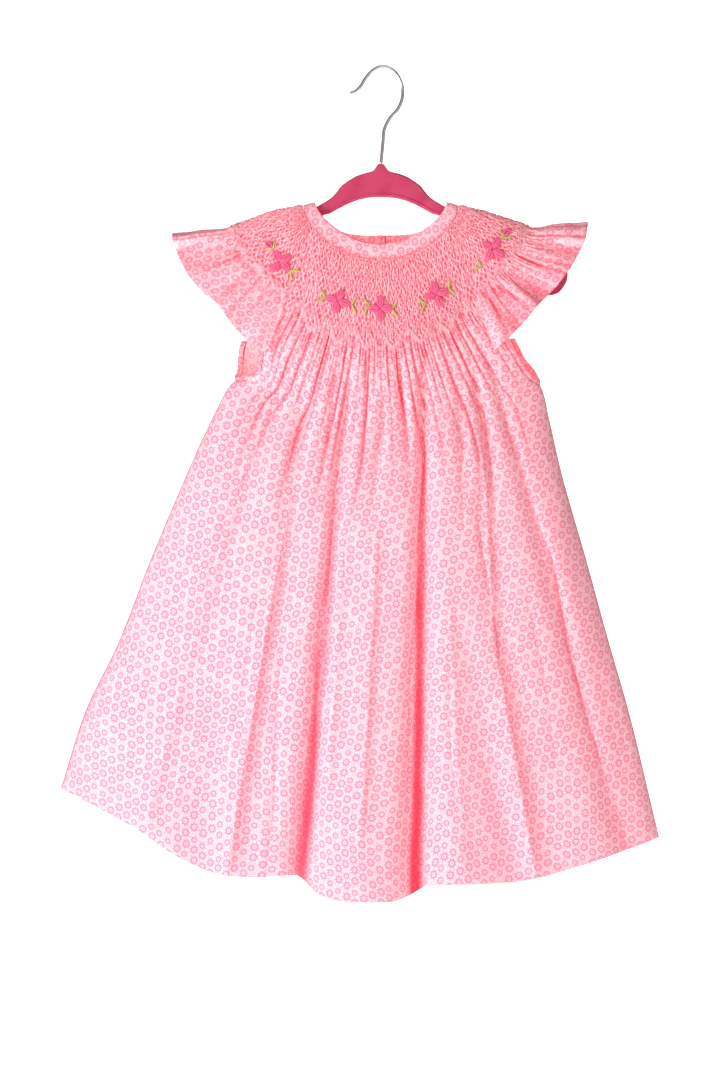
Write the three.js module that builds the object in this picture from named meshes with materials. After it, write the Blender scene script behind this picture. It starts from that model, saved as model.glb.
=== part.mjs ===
// A child's smocked dress with flutter sleeves, hung on a small flocked hanger.
// Millimetres, +Z up. The origin is where the hook rests on a rail, the front faces -Y,
// and +X is the side that is on the right when the front is looked at.
import * as THREE from 'three';
import { mergeVertices } from 'three/addons/utils/BufferGeometryUtils.js';

// Cloth
const CLOTH = 1.2;            // thickness of one layer of cloth
const SEAM_GAP = 0.3;         // between two pieces that are sewn together
const SMOCK_LIFT = 1.5;       // how far a smocked pleat stands out
const SMOCK_LEAN = 0.65;      // how far it leans to one side and the other, row by row
const GATHER_LIFT = 1.5;      // height of the gathers just below the smocking
const YOKE_END = 0.13;        // how far down a panel the smocking reaches, 0 neck to 1 hem
const GATHER_END = 0.5;       // where the gathers have faded out
const CUT_FADE = 10;          // power with which an armhole's cut fades across a panel
const FOLD_FADE = 9;          // how sharply the folds fade out at a panel's side edges
const SKIRT_ROUND = 2.6;      // power of a panel's curve from side to side, 2 is an ellipse
const SLEEVE_ROUND = 2.4;     // and of a sleeve's curve over its top fold
const EDGE_TILT = 0.33;       // how far the cloth leans sideways and up at a raglan edge
const LANE_POWER = 1.35;      // draws the lanes of a sleeve closer together at its top fold

// Neck. The seam ring is where the binding is sewn on, the rim is the binding's free edge.
// out and in are how far its front and back stand from the plane of the hanger.
const NECK_SEAM = {
  half: 62.4, shoulder: -110.4, front: -154.4, back: -143.2, out: 18, in: 14, scoop: 0.3,
};
const NECK_RIM = {
  half: 52.8, shoulder: -107.6, front: -141.6, back: -134.2, out: 14, in: 11, scoop: 0.5,
};
const NECK_SQUARE = 0.42;     // how square the neck looks from above, 1 is an ellipse
const BACK_CURVE = 1.3;       // how flat the back of the neck lies before it turns up
const RAGLAN_HALF = 56;       // half the width of the front and of the back at the neck's seam
const RAGLAN_ANGLE = Math.asin(RAGLAN_HALF / NECK_SEAM.half);   // where the sleeves begin
const FRONT_CORNER = neckPoint(NECK_SEAM, RAGLAN_ANGLE);
const BACK_CORNER = neckPoint(NECK_SEAM, Math.PI - RAGLAN_ANGLE);
const BINDING = 1.7;          // thickness of the neck binding
const BINDING_FOLD = 0.7;     // width of its folded upper edge
const BINDING_SINK = 0.45;    // how far that edge is rounded back
const BINDING_PUFF = 0.25;    // how far its middle stands out
const BINDING_LAP = 9;        // how far its ends lap at the centre back
const BINDING_RISE = 0.55;    // angle over which the upper end climbs over the lower one
const BAND_WIDTH = 3.6;       // armhole binding
const BAND = 1.6;             // and its thickness
const BUTTON_SEAT = BINDING + 3 * SEAM_GAP;

// Hanger and hook
const HANGER_THICK = 8;
const HANGER_ROUND = 2.4;
const HANGER_POINTS = 72;     // round its outline
const WIRE = 2.6;             // diameter of the hook's wire
const BUTTON = { radius: 4.2, thick: 2.2, dish: 2.7, dip: 0.6 };

// Side edges of the front. at: 0 at the neck, 1 at the hem; y is the depth of the edge.
const FRONT_LEFT = [
  { at: 0.0, x: -RAGLAN_HALF, z: FRONT_CORNER.z, y: FRONT_CORNER.y },
  { at: 0.13, x: -77.0, z: -191.2, y: -19.0 },
  { at: 0.165, x: -87.0, z: -208.0, y: -19.0 },
  { at: 0.2, x: -93.0, z: -224.0, y: -17.5 },
  { at: 0.225, x: -95.0, z: -240.0, y: -14.0 },
  { at: 0.247, x: -100.0, z: -250.0, y: -9.0 },
  { at: 0.272, x: -117.6, z: -252.0, y: -0.4 },
  { at: 0.31, x: -129.0, z: -269.0, y: -0.4 },
  { at: 0.4, x: -150.0, z: -313.0, y: -0.4 },
  { at: 0.56, x: -184.8, z: -395.0, y: -0.4 },
  { at: 0.7, x: -210.4, z: -461.0, y: -0.4 },
  { at: 0.84, x: -236.8, z: -516.0, y: -0.4 },
  { at: 1.0, x: -256.8, z: -578.4, y: -0.4 },
];
const FRONT_RIGHT = [
  { at: 0.0, x: RAGLAN_HALF, z: FRONT_CORNER.z, y: FRONT_CORNER.y },
  { at: 0.13, x: 77.0, z: -191.2, y: -19.0 },
  { at: 0.165, x: 89.0, z: -208.0, y: -19.0 },
  { at: 0.2, x: 98.0, z: -220.5, y: -18.0 },
  { at: 0.225, x: 107.0, z: -234.0, y: -15.0 },
  { at: 0.247, x: 117.0, z: -249.0, y: -8.0 },
  { at: 0.272, x: 128.0, z: -255.5, y: -0.4 },
  { at: 0.32, x: 134.5, z: -280.0, y: -0.4 },
  { at: 0.42, x: 145.6, z: -328.0, y: -0.4 },
  { at: 0.56, x: 164.8, z: -395.2, y: -0.4 },
  { at: 0.7, x: 182.0, z: -458.0, y: -0.4 },
  { at: 0.84, x: 200.5, z: -523.0, y: -0.4 },
  { at: 1.0, x: 223.2, z: -617.6, y: -0.4 },
];

// Side edges of the back, whose armholes are cut less deep
const BACK_LEFT = [
  { at: 0.0, x: -RAGLAN_HALF, z: BACK_CORNER.z, y: BACK_CORNER.y },
  { at: 0.13, x: -77.0, z: -191.7, y: 15.6 },
  { at: 0.165, x: -94.0, z: -205.0, y: 15.4 },
  { at: 0.2, x: -108.5, z: -219.0, y: 13.8 },
  { at: 0.225, x: -111.0, z: -233.0, y: 10.0 },
  { at: 0.247, x: -113.0, z: -247.0, y: 5.0 },
  { at: 0.272, x: -117.6, z: -252.0, y: 0.4 },
  { at: 0.31, x: -129.0, z: -269.0, y: 0.4 },
  { at: 0.4, x: -150.0, z: -313.0, y: 0.4 },
  { at: 0.56, x: -184.8, z: -395.0, y: 0.4 },
  { at: 0.7, x: -210.4, z: -461.0, y: 0.4 },
  { at: 0.84, x: -236.8, z: -516.0, y: 0.4 },
  { at: 1.0, x: -256.8, z: -578.4, y: 0.4 },
];
const BACK_RIGHT = [
  { at: 0.0, x: RAGLAN_HALF, z: BACK_CORNER.z, y: BACK_CORNER.y },
  { at: 0.13, x: 77.0, z: -191.7, y: 15.6 },
  { at: 0.165, x: 91.0, z: -204.0, y: 15.4 },
  { at: 0.2, x: 104.0, z: -217.0, y: 14.2 },
  { at: 0.225, x: 112.0, z: -233.5, y: 11.0 },
  { at: 0.247, x: 120.5, z: -245.0, y: 5.5 },
  { at: 0.272, x: 128.0, z: -255.5, y: 0.4 },
  { at: 0.32, x: 134.5, z: -280.0, y: 0.4 },
  { at: 0.42, x: 145.6, z: -328.0, y: 0.4 },
  { at: 0.56, x: 164.8, z: -395.2, y: 0.4 },
  { at: 0.7, x: 182.0, z: -458.0, y: 0.4 },
  { at: 0.84, x: 200.5, z: -523.0, y: 0.4 },
  { at: 1.0, x: 223.2, z: -617.6, y: 0.4 },
];

// Hems, left to right
const FRONT_HEM = [
  { at: -256.8, z: -578.4 },
  { at: -224.0, z: -594.4 },
  { at: -194.4, z: -610.4 },
  { at: -164.8, z: -630.4 },
  { at: -136.0, z: -643.5 },
  { at: -104.0, z: -647.5 },
  { at: -68.0, z: -646.0 },
  { at: -50.0, z: -660.5 },
  { at: -28.0, z: -666.5 },
  { at: 6.0, z: -667.0 },
  { at: 24.0, z: -661.6 },
  { at: 38.0, z: -654.0 },
  { at: 86.0, z: -652.8 },
  { at: 113.0, z: -650.8 },
  { at: 145.0, z: -643.2 },
  { at: 184.0, z: -631.2 },
  { at: 223.2, z: -617.6 },
];
const BACK_HEM = [
  { at: -256.8, z: -578.4 },
  { at: -190.0, z: -610.0 },
  { at: -110.0, z: -638.0 },
  { at: -20.0, z: -649.0 },
  { at: 80.0, z: -646.0 },
  { at: 160.0, z: -635.0 },
  { at: 223.2, z: -617.6 },
];

// How far the middle of a panel stands from the plane of the hanger
const FRONT_DEPTH = [
  { at: 0.0, y: 18 },
  { at: 0.06, y: 25 },
  { at: 0.13, y: 31 },
  { at: 0.27, y: 34 },
  { at: 0.56, y: 43 },
  { at: 1.0, y: 52 },
];
const BACK_DEPTH = [
  { at: 0.0, y: 14 },
  { at: 0.06, y: 21 },
  { at: 0.13, y: 26 },
  { at: 0.27, y: 29 },
  { at: 0.56, y: 37 },
  { at: 1.0, y: 44 },
];

// Folds. Each runs down a straight line from its top to its foot; a positive depth is a
// trough and a negative one a ridge. wide is half its width at the top and at the foot.
const FRONT_FOLDS = [
  { top: [-65, -228], foot: [-142, -436], wide: [5, 10], depth: [4.5, 0] },
  { top: [-60, -255], foot: [-88, -420], wide: [5, 9], depth: [3.5, 0] },
  { top: [-34, -240], foot: [-49, -350], wide: [4.5, 7], depth: [4, 0] },
  { top: [-25, -250], foot: [-64, -650], wide: [5, 11], depth: [5, 13] },
  { top: [-8, -232], foot: [-18, -300], wide: [4, 5], depth: [3.5, 0] },
  { top: [4, -262], foot: [-9, -375], wide: [4.5, 8], depth: [4, 0] },
  { top: [16, -240], foot: [21, -360], wide: [4.5, 8], depth: [4.5, 0] },
  { top: [35, -236], foot: [26, -656], wide: [5, 11], depth: [6, 14] },
  { top: [63, -262], foot: [70, -385], wide: [5, 8], depth: [3.5, 0] },
  { top: [76, -256], foot: [96, -375], wide: [5, 9], depth: [3.5, 0] },
  { top: [80, -340], foot: [98, -520], wide: [7, 12], depth: [3.5, 0] },
  { top: [92, -250], foot: [178, -570], wide: [6, 10], depth: [3, 4] },
  { top: [150, -360], foot: [203, -600], wide: [6, 12], depth: [0, 5] },
  { top: [-120, -430], foot: [-152, -640], wide: [10, 22], depth: [0, 7] },
  { top: [-6, -330], foot: [-20, -667], wide: [14, 36], depth: [0, -11] },
  { top: [46, -330], foot: [60, -655], wide: [12, 24], depth: [0, -5] },
  { top: [62, -430], foot: [104, -652], wide: [10, 18], depth: [0, 7] },
  { top: [-60, -400], foot: [-104, -647], wide: [12, 22], depth: [0, -6] },
];
const BACK_FOLDS = [
  { top: [-64, -240], foot: [-140, -470], wide: [6, 10], depth: [4, 0] },
  { top: [-44, -240], foot: [-96, -640], wide: [5, 14], depth: [5, 11] },
  { top: [-22, -240], foot: [-40, -420], wide: [5, 9], depth: [4.5, 0] },
  { top: [24, -240], foot: [44, -440], wide: [5, 10], depth: [4.5, 0] },
  { top: [40, -240], foot: [76, -645], wide: [5, 15], depth: [5, 12] },
  { top: [66, -245], foot: [118, -430], wide: [6, 10], depth: [4, 0] },
  { top: [90, -330], foot: [156, -630], wide: [8, 16], depth: [0, 8] },
  { top: [-100, -380], foot: [-178, -612], wide: [8, 18], depth: [0, 8] },
  { top: [-30, -350], foot: [-42, -648], wide: [14, 30], depth: [0, -9] },
  { top: [70, -380], foot: [116, -640], wide: [12, 20], depth: [0, -7] },
];

// Sleeves. Each edge runs from the neck (or the top fold) outward; the seam's y is how far it
// stands from the plane of the hanger, on the front and on the back.
const LEFT_SLEEVE = {
  side: -1,
  ridge: [
    { at: 0.0, x: -62.4, z: -110.4 },
    { at: 0.25, x: -88.0, z: -115.8 },
    { at: 0.45, x: -109.0, z: -123.6 },
    { at: 0.6, x: -124.0, z: -128.0 },
    { at: 0.8, x: -146.0, z: -129.8 },
    { at: 1.0, x: -168.0, z: -132.0 },
  ],
  ruffle: [
    { at: 0.0, x: -168.0, z: -132.0 },
    { at: 0.14, x: -166.5, z: -142.0 },
    { at: 0.3, x: -157.0, z: -162.4 },
    { at: 0.46, x: -145.0, z: -178.5 },
    { at: 0.6, x: -132.0, z: -189.0 },
    { at: 0.8, x: -114.0, z: -212.5 },
    { at: 1.0, x: -91.2, z: -230.4 },
  ],
};
const RIGHT_SLEEVE = {
  side: 1,
  ridge: [
    { at: 0.0, x: 62.4, z: -110.4 },
    { at: 0.25, x: 87.0, z: -116.8 },
    { at: 0.45, x: 106.0, z: -123.0 },
    { at: 0.6, x: 122.0, z: -127.4 },
    { at: 0.78, x: 140.0, z: -125.8 },
    { at: 1.0, x: 166.4, z: -124.8 },
  ],
  ruffle: [
    { at: 0.0, x: 166.4, z: -124.8 },
    { at: 0.14, x: 163.0, z: -140.0 },
    { at: 0.3, x: 153.0, z: -159.0 },
    { at: 0.46, x: 140.5, z: -176.0 },
    { at: 0.6, x: 127.0, z: -189.5 },
    { at: 0.8, x: 111.0, z: -208.5 },
    { at: 1.0, x: 90.8, z: -227.6 },
  ],
};
const SLEEVE_SEAM = [
  { at: 0.0, x: RAGLAN_HALF, z: FRONT_CORNER.z, y: -FRONT_CORNER.y },
  { at: 0.56, x: 75.0, z: -185.0, y: 18.6 },
  { at: 0.62, x: 77.2, z: -191.6, y: 21.2 },
  { at: 0.8, x: 84.0, z: -210.0, y: 23.5 },
  { at: 1.0, x: 91.0, z: -229.0, y: 24.5 },
];
const SLEEVE_SMOCKED = 0.56;  // share of the sleeve, from the neck, that is smocked
const RUFFLE_WAVES = 3.5;     // on each face of a sleeve
const RUFFLE_WAVE = 4.5;      // height of a wave at the free edge
const BACK_RISE = BACK_CORNER.z - FRONT_CORNER.z;
const BACK_SHARE = 0.92;      // depth of a sleeve's back against its front

// Upper and lower edge of half the hanger, from its middle outward
const HANGER_TOP = [
  [2.2, -77.2], [4.4, -80.2], [7, -82.8], [15, -85], [21, -87.3], [27, -91], [32, -94.8],
  [36, -100], [39.5, -103.8], [45, -107.6], [53, -112], [62, -116], [80, -122], [111, -136],
  [136, -150], [147, -157],
];
const HANGER_END = [[150, -164], [149, -172], [143, -180.4], [135, -182.8]];
const HANGER_FOOT = [
  [128.8, -180.5], [100, -158], [70, -134], [48.7, -119.6], [41, -116.9], [34.4, -113.3],
  [26, -109], [17.5, -105.9], [9, -104.2], [0, -103.7],
];
const HOOK_LINE = [
  [0, -76.6], [1.6, -60], [2.6, -49.6], [7, -40.5], [13.4, -33], [17, -24.5], [17.2, -15],
  [13.2, -5.4], [7, 0.2], [0, 1.3], [-7, -2.2], [-12.4, -8.2], [-16.4, -14.6], [-20.4, -18.6],
  [-25.2, -20.4],
];

const PRINT_PINK = 0xf9c3cf;
const FLOCK_PINK = 0xd84a78;
const CHROME = 0xb9bcc0;
const PEARL = 0xf3c9d4;

const material = (color, roughness, metalness = 0) =>
  new THREE.MeshStandardMaterial({ color, roughness, metalness });

const ZERO = new THREE.Vector3();
const unit = (v) => new THREE.Vector3(...v).normalize();

function mix(a, b, t) {
  return a + (b - a) * t;
}

function smooth(from, to, t) {
  const s = Math.min(1, Math.max(0, (t - from) / (to - from)));
  return s * s * (3 - 2 * s);
}

// The value of one column of a table at a place along it, on a curve through the rows
function along(table, at, column) {
  let i = 0;
  while (i < table.length - 2 && at > table[i + 1].at) i += 1;
  const slope = (k) => {
    const a = table[Math.max(k - 1, 0)];
    const b = table[Math.min(k + 1, table.length - 1)];
    return (b[column] - a[column]) / (b.at - a.at);
  };
  const a = table[i];
  const b = table[i + 1];
  const wide = b.at - a.at;
  const t = (at - a.at) / wide;
  const rise = b[column] - a[column];
  const steepest = 3 * Math.abs(rise / wide);
  const limit = (m) => (rise * m <= 0 ? 0 : Math.sign(m) * Math.min(Math.abs(m), steepest));
  const m0 = limit(slope(i)) * wide;
  const m1 = limit(slope(i + 1)) * wide;
  const t2 = t * t;
  const t3 = t2 * t;
  return a[column] * (2 * t3 - 3 * t2 + 1) + b[column] * (3 * t2 - 2 * t3) +
    m0 * (t3 - 2 * t2 + t) + m1 * (t3 - t2);
}

// A point of the neck's seam or rim. The angle is 0 at the front and 90 degrees at a shoulder.
function neckPoint(ring, angle) {
  const s = Math.sin(angle);
  const c = Math.abs(Math.cos(angle));
  const front = Math.cos(angle) >= 0;
  const low = front ? ring.front : ring.back;
  const rise = front ? mix(1 - c, s * s, ring.scoop) : (1 - c) ** BACK_CURVE;
  const depth = front ? -ring.out : ring.in;
  return new THREE.Vector3(ring.half * s, depth * c ** NECK_SQUARE, mix(low, ring.shoulder, rise));
}

// The way out of the cloth at the neck's seam: forward at the front, up at the shoulder
function neckNormal(angle) {
  const s = Math.sin(angle);
  const tilt = THREE.MathUtils.degToRad(mix(12, 90, Math.abs(s) ** 16));
  const face = Math.cos(angle) >= 0 ? -1 : 1;
  return unit([0.2 * s, face * Math.cos(tilt), Math.sin(tilt)]);
}

// Depth of all the folds of a panel at one place
function foldDepth(folds, x, z) {
  let sum = 0;
  for (const fold of folds) {
    const t = (fold.top[1] - z) / (fold.top[1] - fold.foot[1]);
    const down = Math.min(1, Math.max(0, t));
    const centre = mix(fold.top[0], fold.foot[0], t);
    const wide = mix(fold.wide[0], fold.wide[1], down);
    const begins = smooth(-0.12, 0.1, t);
    const ends = fold.depth[1] === 0 ? 1 - smooth(0.75, 1.15, t) : 1;
    const depth = mix(fold.depth[0], fold.depth[1], down) * begins * ends;
    sum += depth * Math.exp(-(((x - centre) / wide) ** 2));
  }
  return sum;
}

// Smocking: every second column is a pleat, which leans to its neighbours by turns, so that the
// pleats close up into rows of diamonds
function smocked(i, j, across, share) {
  if (i % 2 === 0) return { lift: 0, lean: ZERO };
  const turn = (j + (i - 1) / 2) % 2 === 0 ? 1 : -1;
  return { lift: SMOCK_LIFT * share, lean: across.clone().setLength(SMOCK_LEAN * turn * share) };
}

// Front or back, as a sheet: u runs from the left side to the right, v from the neck to the hem
const FRONT = {
  face: -1, left: FRONT_LEFT, right: FRONT_RIGHT, hem: FRONT_HEM, depth: FRONT_DEPTH, folds: FRONT_FOLDS,
};
const BACK = {
  face: 1, left: BACK_LEFT, right: BACK_RIGHT, hem: BACK_HEM, depth: BACK_DEPTH, folds: BACK_FOLDS,
};

// The side lines without their armholes, which steer the inner columns of a panel
const isPlain = (row) => row.at < 0.14 || row.at > 0.29;
for (const panel of [FRONT, BACK]) {
  panel.plainLeft = panel.left.filter(isPlain);
  panel.plainRight = panel.right.filter(isPlain);
}

function panelPoint(panel, u, v) {
  const topX = RAGLAN_HALF * (2 * u - 1);
  const lean = Math.asin(topX / NECK_SEAM.half);
  const top = neckPoint(NECK_SEAM, panel.face < 0 ? lean : Math.PI - lean);
  const hemX = mix(panel.hem[0].at, panel.hem[panel.hem.length - 1].at, u);
  const hemZ = along(panel.hem, hemX, 'z');
  const place = {};
  for (const [key, topValue, hemValue] of [['x', topX, hemX], ['z', top.z, hemZ]]) {
    const left = along(panel.plainLeft, v, key);
    const right = along(panel.plainRight, v, key);
    const topLine = mix(panel.left[0][key], panel.right[0][key], u);
    const hemLine = mix(panel.left.at(-1)[key], panel.right.at(-1)[key], u);
    const cutLeft = along(panel.left, v, key) - left;
    const cutRight = along(panel.right, v, key) - right;
    place[key] = mix(left, right, u) + (1 - v) * (topValue - topLine) + v * (hemValue - hemLine) +
      cutLeft * (1 - u) ** CUT_FADE + cutRight * u ** CUT_FADE;
  }
  const s = Math.abs(2 * u - 1);
  const edge = mix(along(panel.left, v, 'y'), along(panel.right, v, 'y'), u) * panel.face;
  const soft = smooth(0.16, 0.42, v);
  const corner = Math.abs(panel.left[0].y);
  const neckArch = (Math.abs(top.y) - corner) / (along(panel.depth, 0, 'y') - corner);
  const yokeArch = mix(panel.face < 0 ? neckArch : 1 - s * s, 1 - s * s, smooth(0, 0.1, v));
  const arch = mix(yokeArch, Math.sqrt(1 - s ** SKIRT_ROUND), soft);
  let depth = mix(edge, along(panel.depth, v, 'y'), arch);
  if (v === 0) depth = Math.abs(top.y);
  const inside = Math.min(1, (1 - s) * FOLD_FADE);
  depth -= foldDepth(panel.folds, place.x, place.z) * inside * smooth(0.11, 0.2, v);
  return new THREE.Vector3(place.x, panel.face * depth, place.z);
}

// Sleeve, as a sheet: s runs from the neck to the free edge, t from the front seam (-1)
// over the top fold (0) to the back seam (1)
function sleevePoint(sleeve, s, t) {
  const turn = Math.abs(t);
  const lean = mix(Math.PI / 2, RAGLAN_ANGLE, turn);
  const neck = neckPoint(NECK_SEAM, sleeve.side * (t <= 0 ? lean : Math.PI - lean));
  const back = t > 0 ? BACK_RISE * (1 - s) : 0;
  const seamEnd = sleeve.ruffle.at(-1);
  const seam = {
    x: along(SLEEVE_SEAM, s, 'x') * sleeve.side,
    z: along(SLEEVE_SEAM, s, 'z') + back,
    y: along(SLEEVE_SEAM, s, 'y'),
  };
  const seamStart = { x: RAGLAN_HALF * sleeve.side, z: SLEEVE_SEAM[0].z + (t > 0 ? BACK_RISE : 0) };
  const end = SLEEVE_SEAM.at(-1);
  const drift = { x: seamEnd.x - end.x * sleeve.side, z: seamEnd.z - end.z };
  const place = {};
  for (const key of ['x', 'z']) {
    const ridge = along(sleeve.ridge, s, key);
    const low = seam[key] + drift[key] * s ** 4;
    const edge = along(sleeve.ruffle, turn, key);
    const neckLine = mix(sleeve.ridge[0][key], seamStart[key], turn);
    const edgeLine = mix(sleeve.ruffle[0][key], seamEnd[key], turn);
    place[key] = mix(ridge, low, turn) + (1 - s) * (neck[key] - neckLine) + s * (edge - edgeLine);
  }
  const round = Math.sqrt(1 - (1 - turn) ** SLEEVE_ROUND);
  const calm = smooth(0, 0.12, turn) * smooth(0, 0.12, 1 - turn);
  const wave = RUFFLE_WAVE * calm * smooth(SLEEVE_SMOCKED, 1, s) *
    Math.sin(2 * Math.PI * RUFFLE_WAVES * turn);
  const opened = smooth(0, 0.14, s);
  const bow = mix(Math.abs(neck.y), seam.y * round, opened);
  const share = t > 0 ? mix(1, BACK_SHARE, opened) : 1;
  const face = t <= 0 ? -1 : 1;
  return new THREE.Vector3(place.x, face * (bow * share + wave), place.z);
}

// A closed wall through a grid of points. rows[j][i] = { p, n, lift, lean }: p lies on the outer
// face, n is the way out, lift raises the outer face alone and lean moves it sideways.
function wall(rows, thick) {
  const tall = rows.length;
  const wide = rows[0].length;
  const positions = [];
  for (const side of [0, 1]) {
    for (const row of rows) {
      for (const { p, n, lift = 0, lean = ZERO } of row) {
        const q = p.clone().addScaledVector(n, side === 0 ? lift : -thick);
        if (side === 0) q.add(lean);
        positions.push(q.x, q.y, q.z);
      }
    }
  }
  const at = (side, j, i) => side * tall * wide + j * wide + i;
  const index = [];
  const quad = (a, b, c, d) => index.push(a, b, c, a, c, d);
  for (let j = 0; j < tall - 1; j += 1) {
    for (let i = 0; i < wide - 1; i += 1) {
      quad(at(0, j, i), at(0, j, i + 1), at(0, j + 1, i + 1), at(0, j + 1, i));
      quad(at(1, j, i), at(1, j + 1, i), at(1, j + 1, i + 1), at(1, j, i + 1));
    }
  }
  for (let i = 0; i < wide - 1; i += 1) {
    quad(at(0, 0, i + 1), at(0, 0, i), at(1, 0, i), at(1, 0, i + 1));
    quad(at(0, tall - 1, i), at(0, tall - 1, i + 1), at(1, tall - 1, i + 1), at(1, tall - 1, i));
  }
  for (let j = 0; j < tall - 1; j += 1) {
    quad(at(0, j, 0), at(0, j + 1, 0), at(1, j + 1, 0), at(1, j, 0));
    quad(at(0, j + 1, wide - 1), at(0, j, wide - 1), at(1, j, wide - 1), at(1, j + 1, wide - 1));
  }
  return closedGeometry(positions, index);
}

// Turns the faces round if they point inward
function closedGeometry(positions, index) {
  const corner = (k) => new THREE.Vector3().fromArray(positions, 3 * k);
  let volume = 0;
  for (let k = 0; k < index.length; k += 3) {
    volume += corner(index[k]).dot(corner(index[k + 1]).cross(corner(index[k + 2])));
  }
  if (volume < 0) index.reverse();
  const geometry = new THREE.BufferGeometry();
  geometry.setAttribute('position', new THREE.Float32BufferAttribute(positions, 3));
  geometry.setIndex(index);
  geometry.computeVertexNormals();
  return geometry;
}

// The way out at each grid point, from its neighbours
function gridNormals(points, facing) {
  return points.map((row, j) => row.map((p, i) => {
    const across = row[Math.min(i + 1, row.length - 1)].clone().sub(row[Math.max(i - 1, 0)]);
    const down = points[Math.min(j + 1, points.length - 1)][i].clone().sub(points[Math.max(j - 1, 0)][i]);
    const n = across.cross(down).normalize();
    return n.dot(facing(i, j)) < 0 ? n.negate() : n;
  }));
}

// Spacing of a panel's columns, closer together where its sides turn round
const spaced = (t) => mix(t, (1 - Math.cos(Math.PI * t)) / 2, 0.3);

function panelWall(panel, from, to, columns, levels) {
  const us = Array.from({ length: columns + 1 }, (_, i) => {
    const t = spaced(mix(from.t, to.t, i / columns));
    return Math.min(1, Math.max(0, t));
  });
  const points = levels.map((v) => us.map((u) => panelPoint(panel, u, v)));
  const normals = gridNormals(points, () => new THREE.Vector3(0, panel.face, 0));
  const rows = levels.map((v, j) => us.map((u, i) => {
    const p = points[j][i];
    let n = normals[j][i];
    const isLeft = u < 1e-6;
    const isRight = u > 1 - 1e-6;
    if (isLeft || isRight) {
      const way = isLeft ? -1 : 1;
      const turned = smooth(0.2, 0.27, v);
      const up = mix(EDGE_TILT, 0, turned);
      n = unit([way * mix(EDGE_TILT, 1, turned), panel.face * (1 - turned), up]);
    }
    if (j === 0) {
      const lean = Math.asin(p.x / NECK_SEAM.half);
      n = neckNormal(panel.face < 0 ? lean : Math.PI - lean);
    }
    const inner = Math.min(smooth(0, 0.04, u), smooth(0, 0.04, 1 - u));
    const atRim = i === 0 || i === columns || j === 0;
    const uneven = 0.75 + 0.25 * Math.sin(2.3 * i);
    if (atRim) return { p, n };
    if (v < YOKE_END + 0.01) {
      const across = points[j][i + 1].clone().sub(points[j][i - 1]);
      return { p, n, ...smocked(i, j, across, inner * uneven) };
    }
    const fade = 1 - smooth(YOKE_END, GATHER_END, v);
    const swing = (i % 2 === 0 ? -0.5 : 0.5) * GATHER_LIFT * uneven * inner * fade;
    return { p: p.clone().addScaledVector(n, swing), n };
  }));
  // The seams' gaps come off the neck edge and the centre back; a sleeve gives all of its own
  for (const row of rows) {
    row[0].p.x += from.gap;
    row[columns].p.x -= to.gap;
  }
  for (const point of rows[0]) point.p.z -= SEAM_GAP / 2;
  return wall(rows, CLOTH);
}

function sleeveWall(sleeve, steps, turns) {
  const lanes = Array.from({ length: 2 * turns + 1 }, (_, k) => {
    const t = k / turns - 1;
    return Math.sign(t) * Math.abs(t) ** LANE_POWER;
  });
  const reach = Array.from({ length: steps + 1 }, (_, k) => k / steps);
  const points = reach.map((s) => lanes.map((t) => sleevePoint(sleeve, s, t)));
  const facing = (k) => {
    const t = lanes[k];
    return new THREE.Vector3(0, t, 1 - Math.abs(t) * 0.9);
  };
  const normals = gridNormals(points, facing);
  const rows = reach.map((s, j) => lanes.map((t, i) => {
    const p = points[j][i];
    let n = normals[j][i];
    const atSeam = i === 0 || i === lanes.length - 1;
    if (atSeam) n = unit([sleeve.side * EDGE_TILT, Math.sign(t), EDGE_TILT]);
    if (t === 0) n = unit([sleeve.side * 0.15, 0, 1]);
    if (j === 0) {
      const lean = mix(Math.PI / 2, RAGLAN_ANGLE, Math.abs(t));
      n = neckNormal(sleeve.side * (t <= 0 ? lean : Math.PI - lean));
    }
    if (atSeam) p.x += sleeve.side * SEAM_GAP;
    else if (j === 0) p.x += sleeve.side * SEAM_GAP / 2;
    if (atSeam || j === 0 || s > SLEEVE_SMOCKED) return { p, n };
    const across = points[j][i + 1].clone().sub(points[j][i - 1]);
    return { p, n, ...smocked(i, j, across, smooth(0, 0.15, 1 - Math.abs(t))) };
  }));
  return wall(rows, CLOTH);
}

// The band round the neck, from one end at the centre back round the front to the other end,
// which laps over it
function neckBinding(steps) {
  const lap = BINDING_LAP / NECK_SEAM.half / 2;
  const rows = [];
  for (let k = 0; k <= steps; k += 1) {
    const angle = mix(-Math.PI - lap, Math.PI + lap, k / steps);
    const seam = neckPoint(NECK_SEAM, angle);
    const rim = neckPoint(NECK_RIM, angle);
    const n = neckNormal(angle);
    const climb = smooth(Math.PI - BINDING_RISE, Math.PI - 2 * lap, angle);
    const shift = climb * (BINDING + SEAM_GAP);
    const upward = rim.clone().sub(seam).normalize();
    const bottom = seam.addScaledVector(upward, SEAM_GAP).addScaledVector(n, shift);
    const upper = rim.addScaledVector(n, shift);
    rows.push([
      { p: bottom, n },
      { p: bottom.clone().lerp(upper, 0.5), n, lift: BINDING_PUFF },
      { p: upper.clone().addScaledVector(upward, -BINDING_FOLD), n },
      { p: upper.clone().addScaledVector(n, -BINDING_SINK), n },
    ]);
  }
  return wall(rows, BINDING);
}

const BAND_ROWS = [0.2, 0.225, 0.247];

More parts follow.
